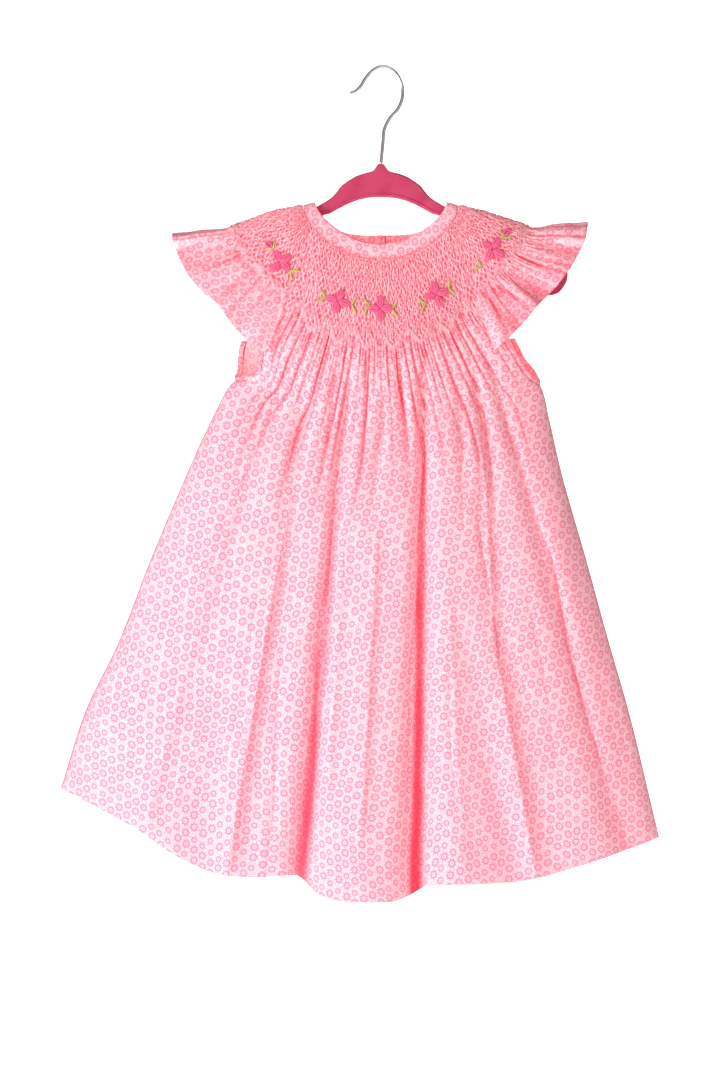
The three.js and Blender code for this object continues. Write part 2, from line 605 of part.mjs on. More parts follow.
// The narrow band on an armhole: down the front edge, under the arm and up the back edge.
// The side is -1 on the left and 1 on the right.
function armholeBand(front, back, side) {
  const rows = [];
  const addRow = (x, y, z, way, n) => {
    const start = new THREE.Vector3(x, y, z).addScaledVector(way, SEAM_GAP);
    rows.push([{ p: start, n }, { p: start.clone().addScaledVector(way, BAND_WIDTH), n }]);
  };
  const addEdge = (table, face, v) => {
    const low = smooth(0.215, 0.262, v);
    const [x, y, z] = ['x', 'y', 'z'].map((key) => along(table, v, key));
    const way = unit([side, 0, mix(0.1, 1.1, low)]);
    addRow(x, y, z, way, unit([side * mix(0.4, 0.9, low), face * mix(1, 0.4, low), 0.1]));
  };
  for (const v of BAND_ROWS) addEdge(front, -1, v);
  const under = front.find((row) => row.at > BAND_ROWS.at(-1));
  addRow(under.x - side * 0.5, 0, under.z, unit([side * 0.15, 0, 1]), unit([side, 0, 0]));
  for (const v of BAND_ROWS.toReversed()) addEdge(back, 1, v);
  return wall(rows, BAND);
}

function hangerBody() {
  const mirrored = (points) => points.map(([x, z]) => [-x, z]).reverse();
  const half = [...HANGER_TOP, ...HANGER_END, ...HANGER_FOOT];
  const outline = [...half, ...mirrored(half).slice(1)];
  const curve = new THREE.CatmullRomCurve3(
    outline.map(([x, z]) => new THREE.Vector3(x, z, 0)), true, 'catmullrom', 0.4,
  );
  const shape = new THREE.Shape(curve.getPoints(HANGER_POINTS).slice(0, -1)
    .map((p) => new THREE.Vector2(p.x, p.y)));
  const geometry = new THREE.ExtrudeGeometry(shape, {
    depth: HANGER_THICK - 2 * HANGER_ROUND,
    bevelThickness: HANGER_ROUND,
    bevelSize: HANGER_ROUND,
    bevelOffset: -HANGER_ROUND,
    bevelSegments: 2,
    curveSegments: 1,
  });
  geometry.rotateX(Math.PI / 2);
  geometry.translate(0, HANGER_THICK / 2 - HANGER_ROUND, 0);
  return geometry;
}

function hookWire() {
  const path = new THREE.CatmullRomCurve3(HOOK_LINE.map(([x, z]) => new THREE.Vector3(x, 0, z)));
  const section = new THREE.Shape().absarc(0, 0, WIRE / 2, 0, 2 * Math.PI);
  return new THREE.ExtrudeGeometry(section, { steps: 32, curveSegments: 5, extrudePath: path });
}

function roundButton() {
  const { radius, thick, dish, dip } = BUTTON;
  const profile = [
    [0, 0], [radius * 0.7, 0], [radius, thick * 0.35], [radius, thick * 0.7],
    [radius * 0.86, thick], [dish, thick], [dish * 0.8, thick - dip], [0, thick - dip],
  ];
  return new THREE.LatheGeometry(profile.map(([x, y]) => new THREE.Vector2(x, y)), 18);
}

function weld(geometry) {
  geometry.deleteAttribute('normal');
  geometry.deleteAttribute('uv');
  const welded = mergeVertices(geometry, 1e-3);
  welded.computeVertexNormals();
  return welded;
}

const dress = new THREE.Group();
const cloth = () => material(PRINT_PINK, 0.85);

function add(name, geometry, finish) {
  const mesh = new THREE.Mesh(geometry, finish);
  mesh.name = name;
  dress.add(mesh);
  return mesh;
}

// Rows of a panel: even through the smocking, then round the armhole and down to the hem
const ARMHOLE_ROWS = [0.165, 0.2, 0.225, 0.247, 0.272];
const SKIRT_ROWS = [0.33, 0.41, 0.51, 0.63, 0.76, 0.88, 1];
const levels = (smocked) => [
  ...Array.from({ length: smocked + 1 }, (_, k) => YOKE_END * k / smocked),
  ...ARMHOLE_ROWS, ...SKIRT_ROWS,
];

const side = { t: 0, gap: 0 };
const otherSide = { t: 1, gap: 0 };
const middle = { t: 0.5, gap: SEAM_GAP / 2 };
add('front', panelWall(FRONT, side, otherSide, 74, levels(7)), cloth());
add('back_left', panelWall(BACK, side, middle, 28, levels(5)), cloth());
add('back_right', panelWall(BACK, middle, otherSide, 28, levels(5)), cloth());
add('sleeve_left', sleeveWall(LEFT_SLEEVE, 9, 12), cloth());
add('sleeve_right', sleeveWall(RIGHT_SLEEVE, 9, 12), cloth());
add('neck_binding', neckBinding(60), cloth());
add('armhole_binding_left', armholeBand(FRONT_LEFT, BACK_LEFT, -1), cloth());
add('armhole_binding_right', armholeBand(FRONT_RIGHT, BACK_RIGHT, 1), cloth());
add('hanger', weld(hangerBody()), material(FLOCK_PINK, 0.95));
add('hook', weld(hookWire()), material(CHROME, 0.2, 1));

// The button lies on the upper end of the neck binding
const bandFoot = neckPoint(NECK_SEAM, Math.PI);
const bandRim = neckPoint(NECK_RIM, Math.PI);
const bandSlope = Math.atan2(bandFoot.y - bandRim.y, bandRim.z - bandFoot.z);
const button = add('button', weld(roundButton()), material(PEARL, 0.35));
button.rotation.x = bandSlope;
button.position.copy(bandFoot).lerp(bandRim, 0.5)
  .addScaledVector(new THREE.Vector3(0, Math.cos(bandSlope), Math.sin(bandSlope)), BUTTON_SEAT);

export default dress;
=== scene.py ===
"""Looks of a child's smocked dress on a flocked hanger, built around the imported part.

Shapes are worked out in millimetres, in the part's own frame, and written in metres.
+Z is up, the front faces -Y, and the origin is where the hook rests.
"""
import math

import bmesh
import bpy
import numpy as np
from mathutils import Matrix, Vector
from mathutils.bvhtree import BVHTree


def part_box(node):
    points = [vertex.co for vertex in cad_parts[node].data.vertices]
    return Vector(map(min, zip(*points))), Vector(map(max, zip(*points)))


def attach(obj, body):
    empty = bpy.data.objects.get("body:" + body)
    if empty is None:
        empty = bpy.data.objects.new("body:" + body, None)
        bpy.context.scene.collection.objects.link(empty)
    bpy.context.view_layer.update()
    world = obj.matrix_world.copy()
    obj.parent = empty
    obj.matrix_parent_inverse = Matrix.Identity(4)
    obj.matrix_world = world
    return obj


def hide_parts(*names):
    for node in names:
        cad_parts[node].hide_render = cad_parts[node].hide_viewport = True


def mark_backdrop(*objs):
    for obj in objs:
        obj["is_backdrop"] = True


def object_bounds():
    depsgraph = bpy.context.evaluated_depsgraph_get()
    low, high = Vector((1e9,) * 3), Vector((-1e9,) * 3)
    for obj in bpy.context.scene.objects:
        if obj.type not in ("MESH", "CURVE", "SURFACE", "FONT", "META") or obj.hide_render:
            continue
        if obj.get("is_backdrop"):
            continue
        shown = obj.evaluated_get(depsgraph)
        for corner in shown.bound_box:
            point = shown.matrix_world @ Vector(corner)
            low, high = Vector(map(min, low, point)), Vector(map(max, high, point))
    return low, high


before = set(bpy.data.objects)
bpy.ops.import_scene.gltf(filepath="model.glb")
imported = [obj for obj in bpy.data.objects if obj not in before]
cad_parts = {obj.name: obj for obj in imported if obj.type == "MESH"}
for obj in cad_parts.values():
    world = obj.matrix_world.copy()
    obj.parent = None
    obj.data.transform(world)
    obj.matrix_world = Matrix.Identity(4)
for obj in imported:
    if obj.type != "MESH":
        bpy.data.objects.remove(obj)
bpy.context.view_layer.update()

MM = 0.001
CLOTH = 0.9           # thickness of the cloth
YOKE_END = 0.13       # where the smocking ends, 0 at the neck and 1 at the hem
PIXEL = 0.8           # one pixel of the photograph
PHOTO_WIDE = 720
PHOTO_HIGH = 1080
ORIGIN_PX = 381       # the pixel where the hook rests
ORIGIN_PY = 66
EDGE_DEPTH = 0.4      # how far a panel's side edge stands from the plane of the hanger
LEDGE_GAIN = 1.25     # how much the crisp folds are deeper than their tables say

# Neck: the seam ring, where the binding is sewn on, and the binding's free rim
NECK_SEAM = dict(half=62.4, shoulder=-110.4, front=-154.4, back=-143.2, out=18, inn=14, scoop=0.3)
NECK_RIM = dict(half=52.8, shoulder=-107.6, front=-141.6, back=-134.2, out=14, inn=11, scoop=0.5)
NECK_SQUARE = 0.42
BACK_CURVE = 1.3
RAGLAN_HALF = 56.0
RAGLAN_ANGLE = math.asin(RAGLAN_HALF / NECK_SEAM["half"])
BINDING = 1.7
BINDING_LAP = 9.0
BINDING_STITCHED = 3.8    # how far from its ends the binding is stitched down
SEAM_GAP = 0.3


def unit(v):
    """Vectors of length one, along the last axis."""
    v = np.asarray(v, float)
    return v / np.maximum(np.linalg.norm(v, axis=-1, keepdims=True), 1e-9)


def mix(a, b, t):
    return a + (b - a) * t


def smooth(low, high, t):
    s = np.clip((t - low) / (high - low), 0, 1)
    return s * s * (3 - 2 * s)


def along(rows, at, column):
    """The value of a table's column at a place along it, on a curve through the rows."""
    keys = np.array([r[0] for r in rows], float)
    vals = np.array([r[column] for r in rows], float)
    last = len(rows) - 1
    i = np.searchsorted(keys[1:-1], at, side="left")
    below = np.maximum(np.arange(last + 1) - 1, 0)
    above = np.minimum(np.arange(last + 1) + 1, last)
    slopes = (vals[above] - vals[below]) / (keys[above] - keys[below])
    wide = keys[i + 1] - keys[i]
    rise = vals[i + 1] - vals[i]
    steepest = 3 * np.abs(rise / wide)

    def limit(m):
        return np.where(rise * m <= 0, 0, np.sign(m) * np.minimum(np.abs(m), steepest)) * wide

    t = (at - keys[i]) / wide
    t2 = t * t
    t3 = t2 * t
    return (vals[i] * (2 * t3 - 3 * t2 + 1) + vals[i + 1] * (3 * t2 - 2 * t3)
            + limit(slopes[i]) * (t3 - 2 * t2 + t) + limit(slopes[i + 1]) * (t3 - t2))


def neck_point(ring, angle):
    s = np.sin(angle)
    c = np.abs(np.cos(angle))
    front = np.cos(angle) >= 0
    low = np.where(front, ring["front"], ring["back"])
    rise = np.where(front, mix(1 - c, s * s, ring["scoop"]), (1 - c) ** BACK_CURVE)
    depth = np.where(front, -ring["out"], ring["inn"])
    return np.stack([ring["half"] * s, depth * c ** NECK_SQUARE, mix(low, ring["shoulder"], rise)], -1)


def neck_normal(angle):
    s = np.sin(angle)
    tilt = np.radians(mix(12, 90, np.abs(s) ** 16))
    face = np.where(np.cos(angle) >= 0, -1, 1)
    return unit(np.stack([0.2 * s, face * np.cos(tilt), np.sin(tilt)], -1))


FRONT_CORNER = neck_point(NECK_SEAM, RAGLAN_ANGLE)
BACK_CORNER = neck_point(NECK_SEAM, math.pi - RAGLAN_ANGLE)

# Side edges below the arms, the same for front and back: place along the edge, x, z
LEFT_SIDE = [
    (0.272, -117.6, -252.0), (0.31, -129.0, -269.0), (0.4, -150.0, -313.0), (0.56, -184.8, -395.0),
    (0.7, -210.4, -461.0), (0.84, -236.8, -516.0), (1.0, -256.8, -578.4),
]
RIGHT_SIDE = [
    (0.272, 128.0, -255.5), (0.32, 134.5, -280.0), (0.42, 145.6, -328.0), (0.56, 164.8, -395.2),
    (0.7, 182.0, -458.0), (0.84, 200.5, -523.0), (1.0, 223.2, -617.6),
]


def at_depth(rows, depth):
    return [(*row, depth) for row in rows]


# Side edges of the panels: place along the edge, x, z, depth
FRONT_LEFT = [
    (0.0, -RAGLAN_HALF, FRONT_CORNER[2], FRONT_CORNER[1]),
    (0.13, -77.0, -191.2, -19.0),
    (0.165, -87.0, -208.0, -19.0),
    (0.2, -93.0, -224.0, -17.5),
    (0.225, -95.0, -240.0, -14.0),
    (0.247, -100.0, -250.0, -9.0),
] + at_depth(LEFT_SIDE, -EDGE_DEPTH)
FRONT_RIGHT = [
    (0.0, RAGLAN_HALF, FRONT_CORNER[2], FRONT_CORNER[1]),
    (0.13, 77.0, -191.2, -19.0),
    (0.165, 89.0, -208.0, -19.0),
    (0.2, 98.0, -220.5, -18.0),
    (0.225, 107.0, -234.0, -15.0),
    (0.247, 117.0, -249.0, -8.0),
] + at_depth(RIGHT_SIDE, -EDGE_DEPTH)
BACK_LEFT = [
    (0.0, -RAGLAN_HALF, BACK_CORNER[2], BACK_CORNER[1]),
    (0.13, -77.0, -191.7, 15.6),
    (0.165, -94.0, -205.0, 15.4),
    (0.2, -108.5, -219.0, 13.8),
    (0.225, -111.0, -233.0, 10.0),
    (0.247, -113.0, -247.0, 5.0),
] + at_depth(LEFT_SIDE, EDGE_DEPTH)
BACK_RIGHT = [
    (0.0, RAGLAN_HALF, BACK_CORNER[2], BACK_CORNER[1]),
    (0.13, 77.0, -191.7, 15.6),
    (0.165, 91.0, -204.0, 15.4),
    (0.2, 104.0, -217.0, 14.2),
    (0.225, 112.0, -233.5, 11.0),
    (0.247, 120.5, -245.0, 5.5),
] + at_depth(RIGHT_SIDE, EDGE_DEPTH)

# Hems: x, z
FRONT_HEM = [
    (-256.8, -578.4), (-224.0, -594.4), (-194.4, -610.4), (-164.8, -630.4), (-136.0, -643.5),
    (-104.0, -647.5), (-68.0, -646.0), (-50.0, -660.5), (-28.0, -666.5), (6.0, -667.0),
    (24.0, -661.6), (38.0, -654.0), (86.0, -652.8), (113.0, -650.8), (145.0, -643.2),
    (184.0, -631.2), (223.2, -617.6),
]
BACK_HEM = [
    (-256.8, -578.4), (-190.0, -610.0), (-110.0, -638.0), (-20.0, -649.0), (80.0, -646.0),
    (160.0, -635.0), (223.2, -617.6),
]

# How far the middle of a panel stands from the plane of the hanger: place, depth
FRONT_DEPTH = [(0.0, 18), (0.06, 25), (0.13, 31), (0.27, 34), (0.56, 43), (1.0, 52)]
BACK_DEPTH = [(0.0, 14), (0.06, 21), (0.13, 26), (0.27, 29), (0.56, 37), (1.0, 44)]

# Folds: top x and z, foot x and z, half width at top and foot, depth at top and foot.
# A positive depth is a trough.
FRONT_FOLDS = [
    (-65, -228, -142, -436, 5, 10, 4.5, 0),
    (-60, -255, -88, -420, 5, 9, 3.5, 0),
    (-34, -240, -49, -350, 4.5, 7, 4, 0),
    (-25, -250, -64, -650, 5, 11, 5, 13),
    (-8, -232, -18, -300, 4, 5, 3.5, 0),
    (4, -262, -9, -375, 4.5, 8, 4, 0),
    (16, -240, 21, -360, 4.5, 8, 4.5, 0),
    (35, -236, 26, -656, 5, 11, 6, 14),
    (63, -262, 70, -385, 5, 8, 3.5, 0),
    (76, -256, 96, -375, 5, 9, 3.5, 0),
    (80, -340, 98, -520, 7, 12, 3.5, 0),
    (92, -250, 178, -570, 6, 10, 3, 4),
    (150, -360, 203, -600, 6, 12, 0, 5),
    (-120, -430, -152, -640, 10, 22, 0, 7),
    (-6, -330, -20, -667, 14, 36, 0, -11),
    (46, -330, 60, -655, 12, 24, 0, -5),
    (62, -430, 104, -652, 10, 18, 0, 7),
    (-60, -400, -104, -647, 12, 22, 0, -6),
]
BACK_FOLDS = [
    (-64, -240, -140, -470, 6, 10, 4, 0),
    (-44, -240, -96, -640, 5, 14, 5, 11),
    (-22, -240, -40, -420, 5, 9, 4.5, 0),
    (24, -240, 44, -440, 5, 10, 4.5, 0),
    (40, -240, 76, -645, 5, 15, 5, 12),
    (66, -245, 118, -430, 6, 10, 4, 0),
    (90, -330, 156, -630, 8, 16, 0, 8),
    (-100, -380, -178, -612, 8, 18, 0, 8),
    (-30, -350, -42, -648, 14, 30, 0, -9),
    (70, -380, 116, -640, 12, 20, 0, -7),
]
# Sharp creases that the cloth alone carries, on and beside the folds
FRONT_CREASES = [
    (-65, -228, -124, -358, 1.6, 3.0, 2.0, 1.8),
    (-124, -358, -144, -440, 3.0, 3.6, 1.8, 0.8),
    (-61, -273, -73, -346, 1.3, 2.2, 2.0, 1.8),
    (-73, -346, -86, -407, 2.2, 3.0, 1.8, 0.6),
    (-34, -242, -47, -334, 1.4, 2.4, 2.0, 0.8),
    (-25, -250, -34, -326, 1.5, 2.2, 2.4, 2.2),
    (-34, -326, -46, -428, 2.2, 3.0, 2.2, 2.0),
    (-46, -428, -62, -640, 3.0, 4.2, 2.0, 1.2),
    (-10, -232, -18, -270, 1.2, 1.8, 1.8, 1.0),
    (2, -285, -8, -354, 1.3, 2.4, 2.0, 0.8),
    (17, -244, 21, -346, 1.4, 2.2, 2.2, 0.9),
    (35, -240, 33, -306, 1.6, 2.2, 3.0, 2.8),
    (33, -306, 28, -434, 2.2, 3.0, 2.8, 2.4),
    (28, -434, 19, -578, 3.0, 3.8, 2.2, 1.6),
    (19, -578, 27, -650, 3.8, 3.4, 1.4, 0.8),
    (64, -291, 66, -370, 1.3, 2.2, 1.5, 0.7),
    (74, -234, 92, -358, 1.4, 2.4, 2.2, 0.9),
    (80, -366, 96, -510, 1.4, 2.8, 1.8, 1.0),
    (82, -228, 110, -310, 1.2, 1.8, 1.7, 1.3),
    (110, -310, 146, -430, 1.8, 2.4, 1.2, 0.9),
    (134, -388, 174, -558, 0.9, 1.2, 1.5, 1.4),
    (165, -395, 198, -578, 1.2, 2.0, 1.1, 0.7),
    (-118, -300, -190, -500, 1.4, 3.0, 0.4, 0.5),
    (-96, -420, -126, -560, 1.6, 2.4, 0.7, 0.7),
    (-104, -520, -120, -600, 1.0, 1.4, -0.8, -0.5),
    (-114, -556, -123, -635, 0.9, 1.2, -0.7, -0.4),
    (-78, -470, -92, -640, 2.4, 3.4, 1.3, 1.9),
    (52, -470, 60, -600, 2.0, 3.0, 1.3, 1.2),
    (118, -420, 140, -560, 2.0, 3.0, 0.9, 0.9),
]
# Folds with a crisp crest: the cloth falls away to the right of the line and rises again.
# Top x and z, foot x and z, how far the trough lies from the crest at top and foot, depths.
FRONT_LEDGES = [
    (-61, -273, -73, -346, 4, 6, 1.4, 2.4),
    (-73, -346, -95, -471, 6, 9, 2.4, 3.4),
    (-95, -471, -124, -650, 10, 17, 3.9, 6.0),
    (34, -300, 28.5, -366, 4, 6, 2.0, 3.4),
    (28.5, -366, 24, -575, 6, 10, 3.4, 4.4),
    (24, -575, 20, -680, 10, 11, 4.4, 4.4),
    (74, -250, 84, -340, 4, 6, 1.4, 2.4),
    (84, -340, 90, -462, 6, 9, 2.4, 3.0),
    (90, -462, 124, -650, 9, 14, 3.0, 3.6),
    (128, -300, 156, -379, 3, 6, 0.8, 1.8),
    (156, -379, 199, -575, 6, 9, 1.8, 2.4),
    (-30, -379, -42.5, -578, 5, 7, 1.7, 2.0),
    (-3, -379, -16.0, -612, 4, 6, 1.2, 1.6),
    (-112, -330, -152, -470, 5, 9, 1.2, 1.3),
    (-152, -470, -186, -600, 9, 11, 1.3, 1.5),
    (54, -420, 66, -640, 6, 10, 0.8, 1.3),
]
BACK_LEDGES = [
    (-70, -300, -104, -450, 5, 9, 1.4, 2.8),
    (-104, -450, -132, -632, 9, 13, 2.8, 3.6),
    (-20, -340, -28, -640, 6, 12, 1.4, 3.2),
    (48, -320, 74, -470, 5, 9, 1.6, 3.0),
    (74, -470, 98, -640, 9, 13, 3.0, 3.8),
    (112, -340, 168, -560, 5, 9, 1.0, 2.0),
]
BACK_CREASES = [
    (-44, -240, -80, -480, 1.6, 3, 1.4, 0.5),
    (-22, -244, -36, -380, 1.5, 2.6, 1.3, 0),
    (-64, -244, -120, -420, 1.6, 3, 1.3, 0.3),
    (24, -244, 40, -400, 1.5, 2.8, 1.3, 0),
    (40, -244, 62, -470, 1.6, 3, 1.5, 0.5),
    (66, -248, 106, -400, 1.5, 2.8, 1.2, 0),
    (90, -330, 140, -560, 1.8, 3, 0.8, 0.6),
    (-100, -380, -166, -560, 1.8, 3, 0.8, 0.6),
]


def fold_depth(folds, x, z):
    total = np.zeros(np.broadcast(x, z).shape)
    for x0, z0, x1, z1, w0, w1, d0, d1 in folds:
        t = (z0 - z) / (z0 - z1)
        down = np.clip(t, 0, 1)
        depth = mix(d0, d1, down) * smooth(-0.12, 0.1, t)
        if d1 == 0:
            depth = depth * (1 - smooth(0.75, 1.15, t))
        total += depth * np.exp(-(((x - mix(x0, x1, t)) / mix(w0, w1, down)) ** 2))
    return total


def beside(x0, z0, x1, z1, x, z):
    """Place along a segment, the segment's length, and the distance to its side."""
    long = math.hypot(x1 - x0, z1 - z0)
    way_x, way_z = (x1 - x0) / long, (z1 - z0) / long
    t = ((x - x0) * way_x + (z - z0) * way_z) / long
    return t, long, (x - x0) * way_z - (z - z0) * way_x


def crease_depth(creases, x, z):
    """Creases lie along segments and end softly. One side of each is softer than the other."""
    total = np.zeros(np.broadcast(x, z).shape)
    for x0, z0, x1, z1, w0, w1, d0, d1 in creases:
        t, long, aside = beside(x0, z0, x1, z1, x, z)
        down = np.clip(t, 0, 1)
        depth = mix(d0, d1, down) * smooth(-0.12, 0.1, t) * (1 - smooth(0.88, 1.14, t))
        bend = 0.012 * long * np.sin(5.3 * t + x0)
        away = (aside + bend) / mix(w0, w1, down)
        away = np.where(away > 0, away / 2.1, -away / 0.85)
        total += depth * np.exp(-away ** 1.25)
    return total


def ledge_depth(ledges, x, z):
    total = np.zeros(np.broadcast(x, z).shape)
    for x0, z0, x1, z1, a0, a1, d0, d1 in ledges:
        t, _, aside = beside(x0, z0, x1, z1, x, z)
        down = np.clip(t, 0, 1)
        depth = mix(d0, d1, down) * smooth(-0.12, 0.12, t) * (1 - smooth(0.88, 1.12, t))
        away = -aside / mix(a0, a1, down)
        behind = np.maximum(away, 0)
        falls = behind * np.exp(1 - behind) - 0.14 * np.exp(-np.abs(away) * 2.2)
        total += LEDGE_GAIN * depth * falls
    return total


def plain(rows):
    """A side line without its armhole."""
    return [r for r in rows if r[0] < 0.14 or r[0] > 0.29]


FRONT = dict(face=-1, left=FRONT_LEFT, right=FRONT_RIGHT, hem=FRONT_HEM, depth=FRONT_DEPTH,
             folds=FRONT_FOLDS, creases=FRONT_CREASES, ledges=FRONT_LEDGES)
BACK = dict(face=1, left=BACK_LEFT, right=BACK_RIGHT, hem=BACK_HEM, depth=BACK_DEPTH,
            folds=BACK_FOLDS, creases=BACK_CREASES, ledges=BACK_LEDGES)
X, Z, Y = 1, 2, 3


def panel_points(panel, u, v):
    """Points of a panel's sheet: u across from left to right, v down from neck to hem."""
    face = panel["face"]
    left, right = panel["left"], panel["right"]
    plain_left, plain_right = plain(left), plain(right)
    top_x = RAGLAN_HALF * (2 * u - 1)
    lean = np.arcsin(top_x / NECK_SEAM["half"])
    top = neck_point(NECK_SEAM, lean if face < 0 else math.pi - lean)
    hem = panel["hem"]
    hem_x = mix(hem[0][0], hem[-1][0], u)
    hem_z = along(hem, hem_x, 1)
    place = {}
    for key, top_value, hem_value in ((X, top_x, hem_x), (Z, top[..., 2], hem_z)):
        low = along(plain_left, v, key)
        high = along(plain_right, v, key)
        top_line = mix(left[0][key], right[0][key], u)
        hem_line = mix(left[-1][key], right[-1][key], u)
        cut_left = along(left, v, key) - low
        cut_right = along(right, v, key) - high
        place[key] = (mix(low, high, u) + (1 - v) * (top_value - top_line) + v * (hem_value - hem_line)
                      + cut_left * (1 - u) ** 10 + cut_right * u ** 10)
    s = np.abs(2 * u - 1)
    edge = mix(along(left, v, Y), along(right, v, Y), u) * face
    soft = smooth(0.16, 0.42, v)
    corner = abs(left[0][Y])
    middle = along(panel["depth"], v, 1)
    neck_arch = (np.abs(top[..., 1]) - corner) / (along(panel["depth"], 0.0, 1) - corner)
    yoke_arch = mix(neck_arch if face < 0 else 1 - s * s, 1 - s * s, smooth(0, 0.1, v))
    arch = mix(yoke_arch, np.sqrt(np.maximum(1 - s ** 2.6, 0)), soft)
    depth = mix(edge, middle, arch)
    depth = np.where(v <= 0, np.abs(top[..., 1]), depth)
    inside = np.minimum(1, (1 - s) * 9)
    begun = smooth(0.11, 0.2, v)
    for sunk, table in ((fold_depth, "folds"), (crease_depth, "creases"), (ledge_depth, "ledges")):
        depth = depth - sunk(panel[table], place[X], place[Z]) * inside * begun
    return np.stack([place[X], face * depth, place[Z]], -1)


def grid_normals(points, facing):
    """The way out at each grid point. facing is a rough way out."""
    across = np.gradient(points, axis=1)
    down = np.gradient(points, axis=0)
    n = unit(np.cross(across, down))
    flip = np.sum(n * facing, -1, keepdims=True) < 0
    return np.where(flip, -n, n)


def speckle(a, b):
    """A repeatable number from 0 to 1 for each pair of whole numbers."""
    value = np.sin(a * 12.9898 + b * 78.233) * 43758.5453
    return value - np.floor(value)


def smocking(s, r):
    """Height from 0 to 1 of smocked pleats. s counts pleats and r counts rows of stitches.
    At each row a pleat is caught to one neighbour or the other, never quite evenly."""
    height = np.zeros(np.broadcast(s, r).shape)
    base = np.floor(s)
    for step in (-1, 0, 1, 2):
        k = base + step
        q = r + 0.9 * (speckle(k, 11.0) - 0.5)
        row = np.floor(q)
        part = q - row
        turn = 1 - 2 * ((k + row) % 2)
        begin = turn * mix(-0.12, 0.6, speckle(k, row))
        end = -turn * mix(-0.12, 0.6, speckle(k, row + 1))
        away = np.abs(s - k - mix(begin, end, smooth(0.08, 0.92, part)))
        ridge = 1 - smooth(0.14, 0.6, away)
        puff = 0.72 + 0.28 * np.sin(math.pi * part)
        rank = mix(0.5, 1.0, mix(speckle(k + 40, row), speckle(k + 40, row + 1), part))
        height = np.maximum(height, ridge * puff * rank)
    return height


def gathers(s, v, start, count):
    """Depth in mm of the gathers that hang from the smocking, each its own length and depth;
    start is where the smocking ends."""
    down = v - start
    total = np.zeros(np.broadcast(s, v).shape)
    for k in range(count + 1):
        long = mix(0.03, 0.13, speckle(k, 1.0) ** 2)
        depth = mix(0.7, 1.7, speckle(k, 2.0))
        centre = k + 0.6 * (speckle(k, 3.0) - 0.5) + 7 * (speckle(k, 4.0) - 0.5) * down
        away = np.abs(s - centre) / np.where(s < centre, 0.36, 0.17)
        total += depth * np.exp(-away ** 1.3) * (1 - smooth(0.3 * long, long, down))
        if k % 3 == 1:
            long = mix(0.1, 0.36, speckle(k, 5.0))
            depth = mix(0.8, 2.3, speckle(k, 6.0))
            centre = k + 1.6 * (speckle(k, 7.0) - 0.5) + 5 * (speckle(k, 8.0) - 0.5) * down
            wider = 0.24 + 0.5 * np.clip(down / 0.3, 0, 1)
            away = np.abs(s - centre) / wider / np.where(s < centre, 1.5, 0.75)
            total += depth * np.exp(-away ** 1.3) * (1 - smooth(0.35 * long, long, down))
    return np.minimum(total, 3.2) * smooth(-0.004, 0.01, down)


def slack(x, z):
    """Slight unevenness of pressed cotton, in mm."""
    return (0.5 * np.sin(x * 0.043 + 1.3 * np.sin(z * 0.011)) * np.sin(z * 0.017 + 0.8)
            + 0.22 * np.sin(x * 0.11 - z * 0.035 + 2.0 * np.sin(z * 0.02))
            + 0.14 * np.sin(x * 0.21 + z * 0.09 + 1.0))


def distance_along(path):
    """Distance walked from the first point of a line to each of its points."""
    return np.concatenate([[0], np.cumsum(np.linalg.norm(np.diff(path, axis=0), axis=1))])


def lengths(points, axes):
    """Distance walked along the rows of a grid, counted only along the given axes."""
    step = np.diff(points[..., axes], axis=1)
    walked = np.cumsum(np.sqrt((step ** 2).sum(-1)), axis=1)
    return np.concatenate([np.zeros((len(points), 1)), walked], axis=1)


def hollows(points, face):
    """Painted shade, 0 on ridges to 1 in narrow valleys, from how far a point lies behind its
    neighbours.
    """
    out = points[..., 1] * face
    shade = np.zeros(out.shape)
    width = out.shape[1]
    for reach, depth in ((max(2, width // 90), 1.0), (max(4, width // 34), 2.9)):
        kernel = np.hanning(2 * reach + 3)[1:-1]
        kernel = kernel / kernel.sum()
        padded = np.pad(out, ((0, 0), (reach, reach)), mode="edge")
        mean = sum(k * padded[:, i:i + width] for i, k in enumerate(kernel))
        shade = np.maximum(shade, np.clip((mean - out) / depth, 0, 1))
    return shade


# Meshes


def mesh_of(name, points, faces):
    mesh = bpy.data.meshes.new(name)
    mesh.from_pydata(points, [], faces)
    return mesh


def mend(mesh, join=False, split_caps=False):
    """Turns the faces outward. It can first join points that coincide, or split the end faces."""
    work = bmesh.new()
    work.from_mesh(mesh)
    if join:
        bmesh.ops.remove_doubles(work, verts=work.verts, dist=1e-7)
    if split_caps:
        bmesh.ops.triangulate(work, faces=[f for f in work.faces if len(f.verts) > 4])
    bmesh.ops.recalc_face_normals(work, faces=work.faces)
    work.to_mesh(mesh)
    work.free()


def ring_faces(rings, sides, base=0):
    """The faces between closed rings of points that follow each other."""
    faces = []
    for j in range(rings - 1):
        low = base + j * sides
        for i in range(sides):
            k = (i + 1) % sides
            faces.append((low + i, low + k, low + sides + k, low + sides + i))
    return faces


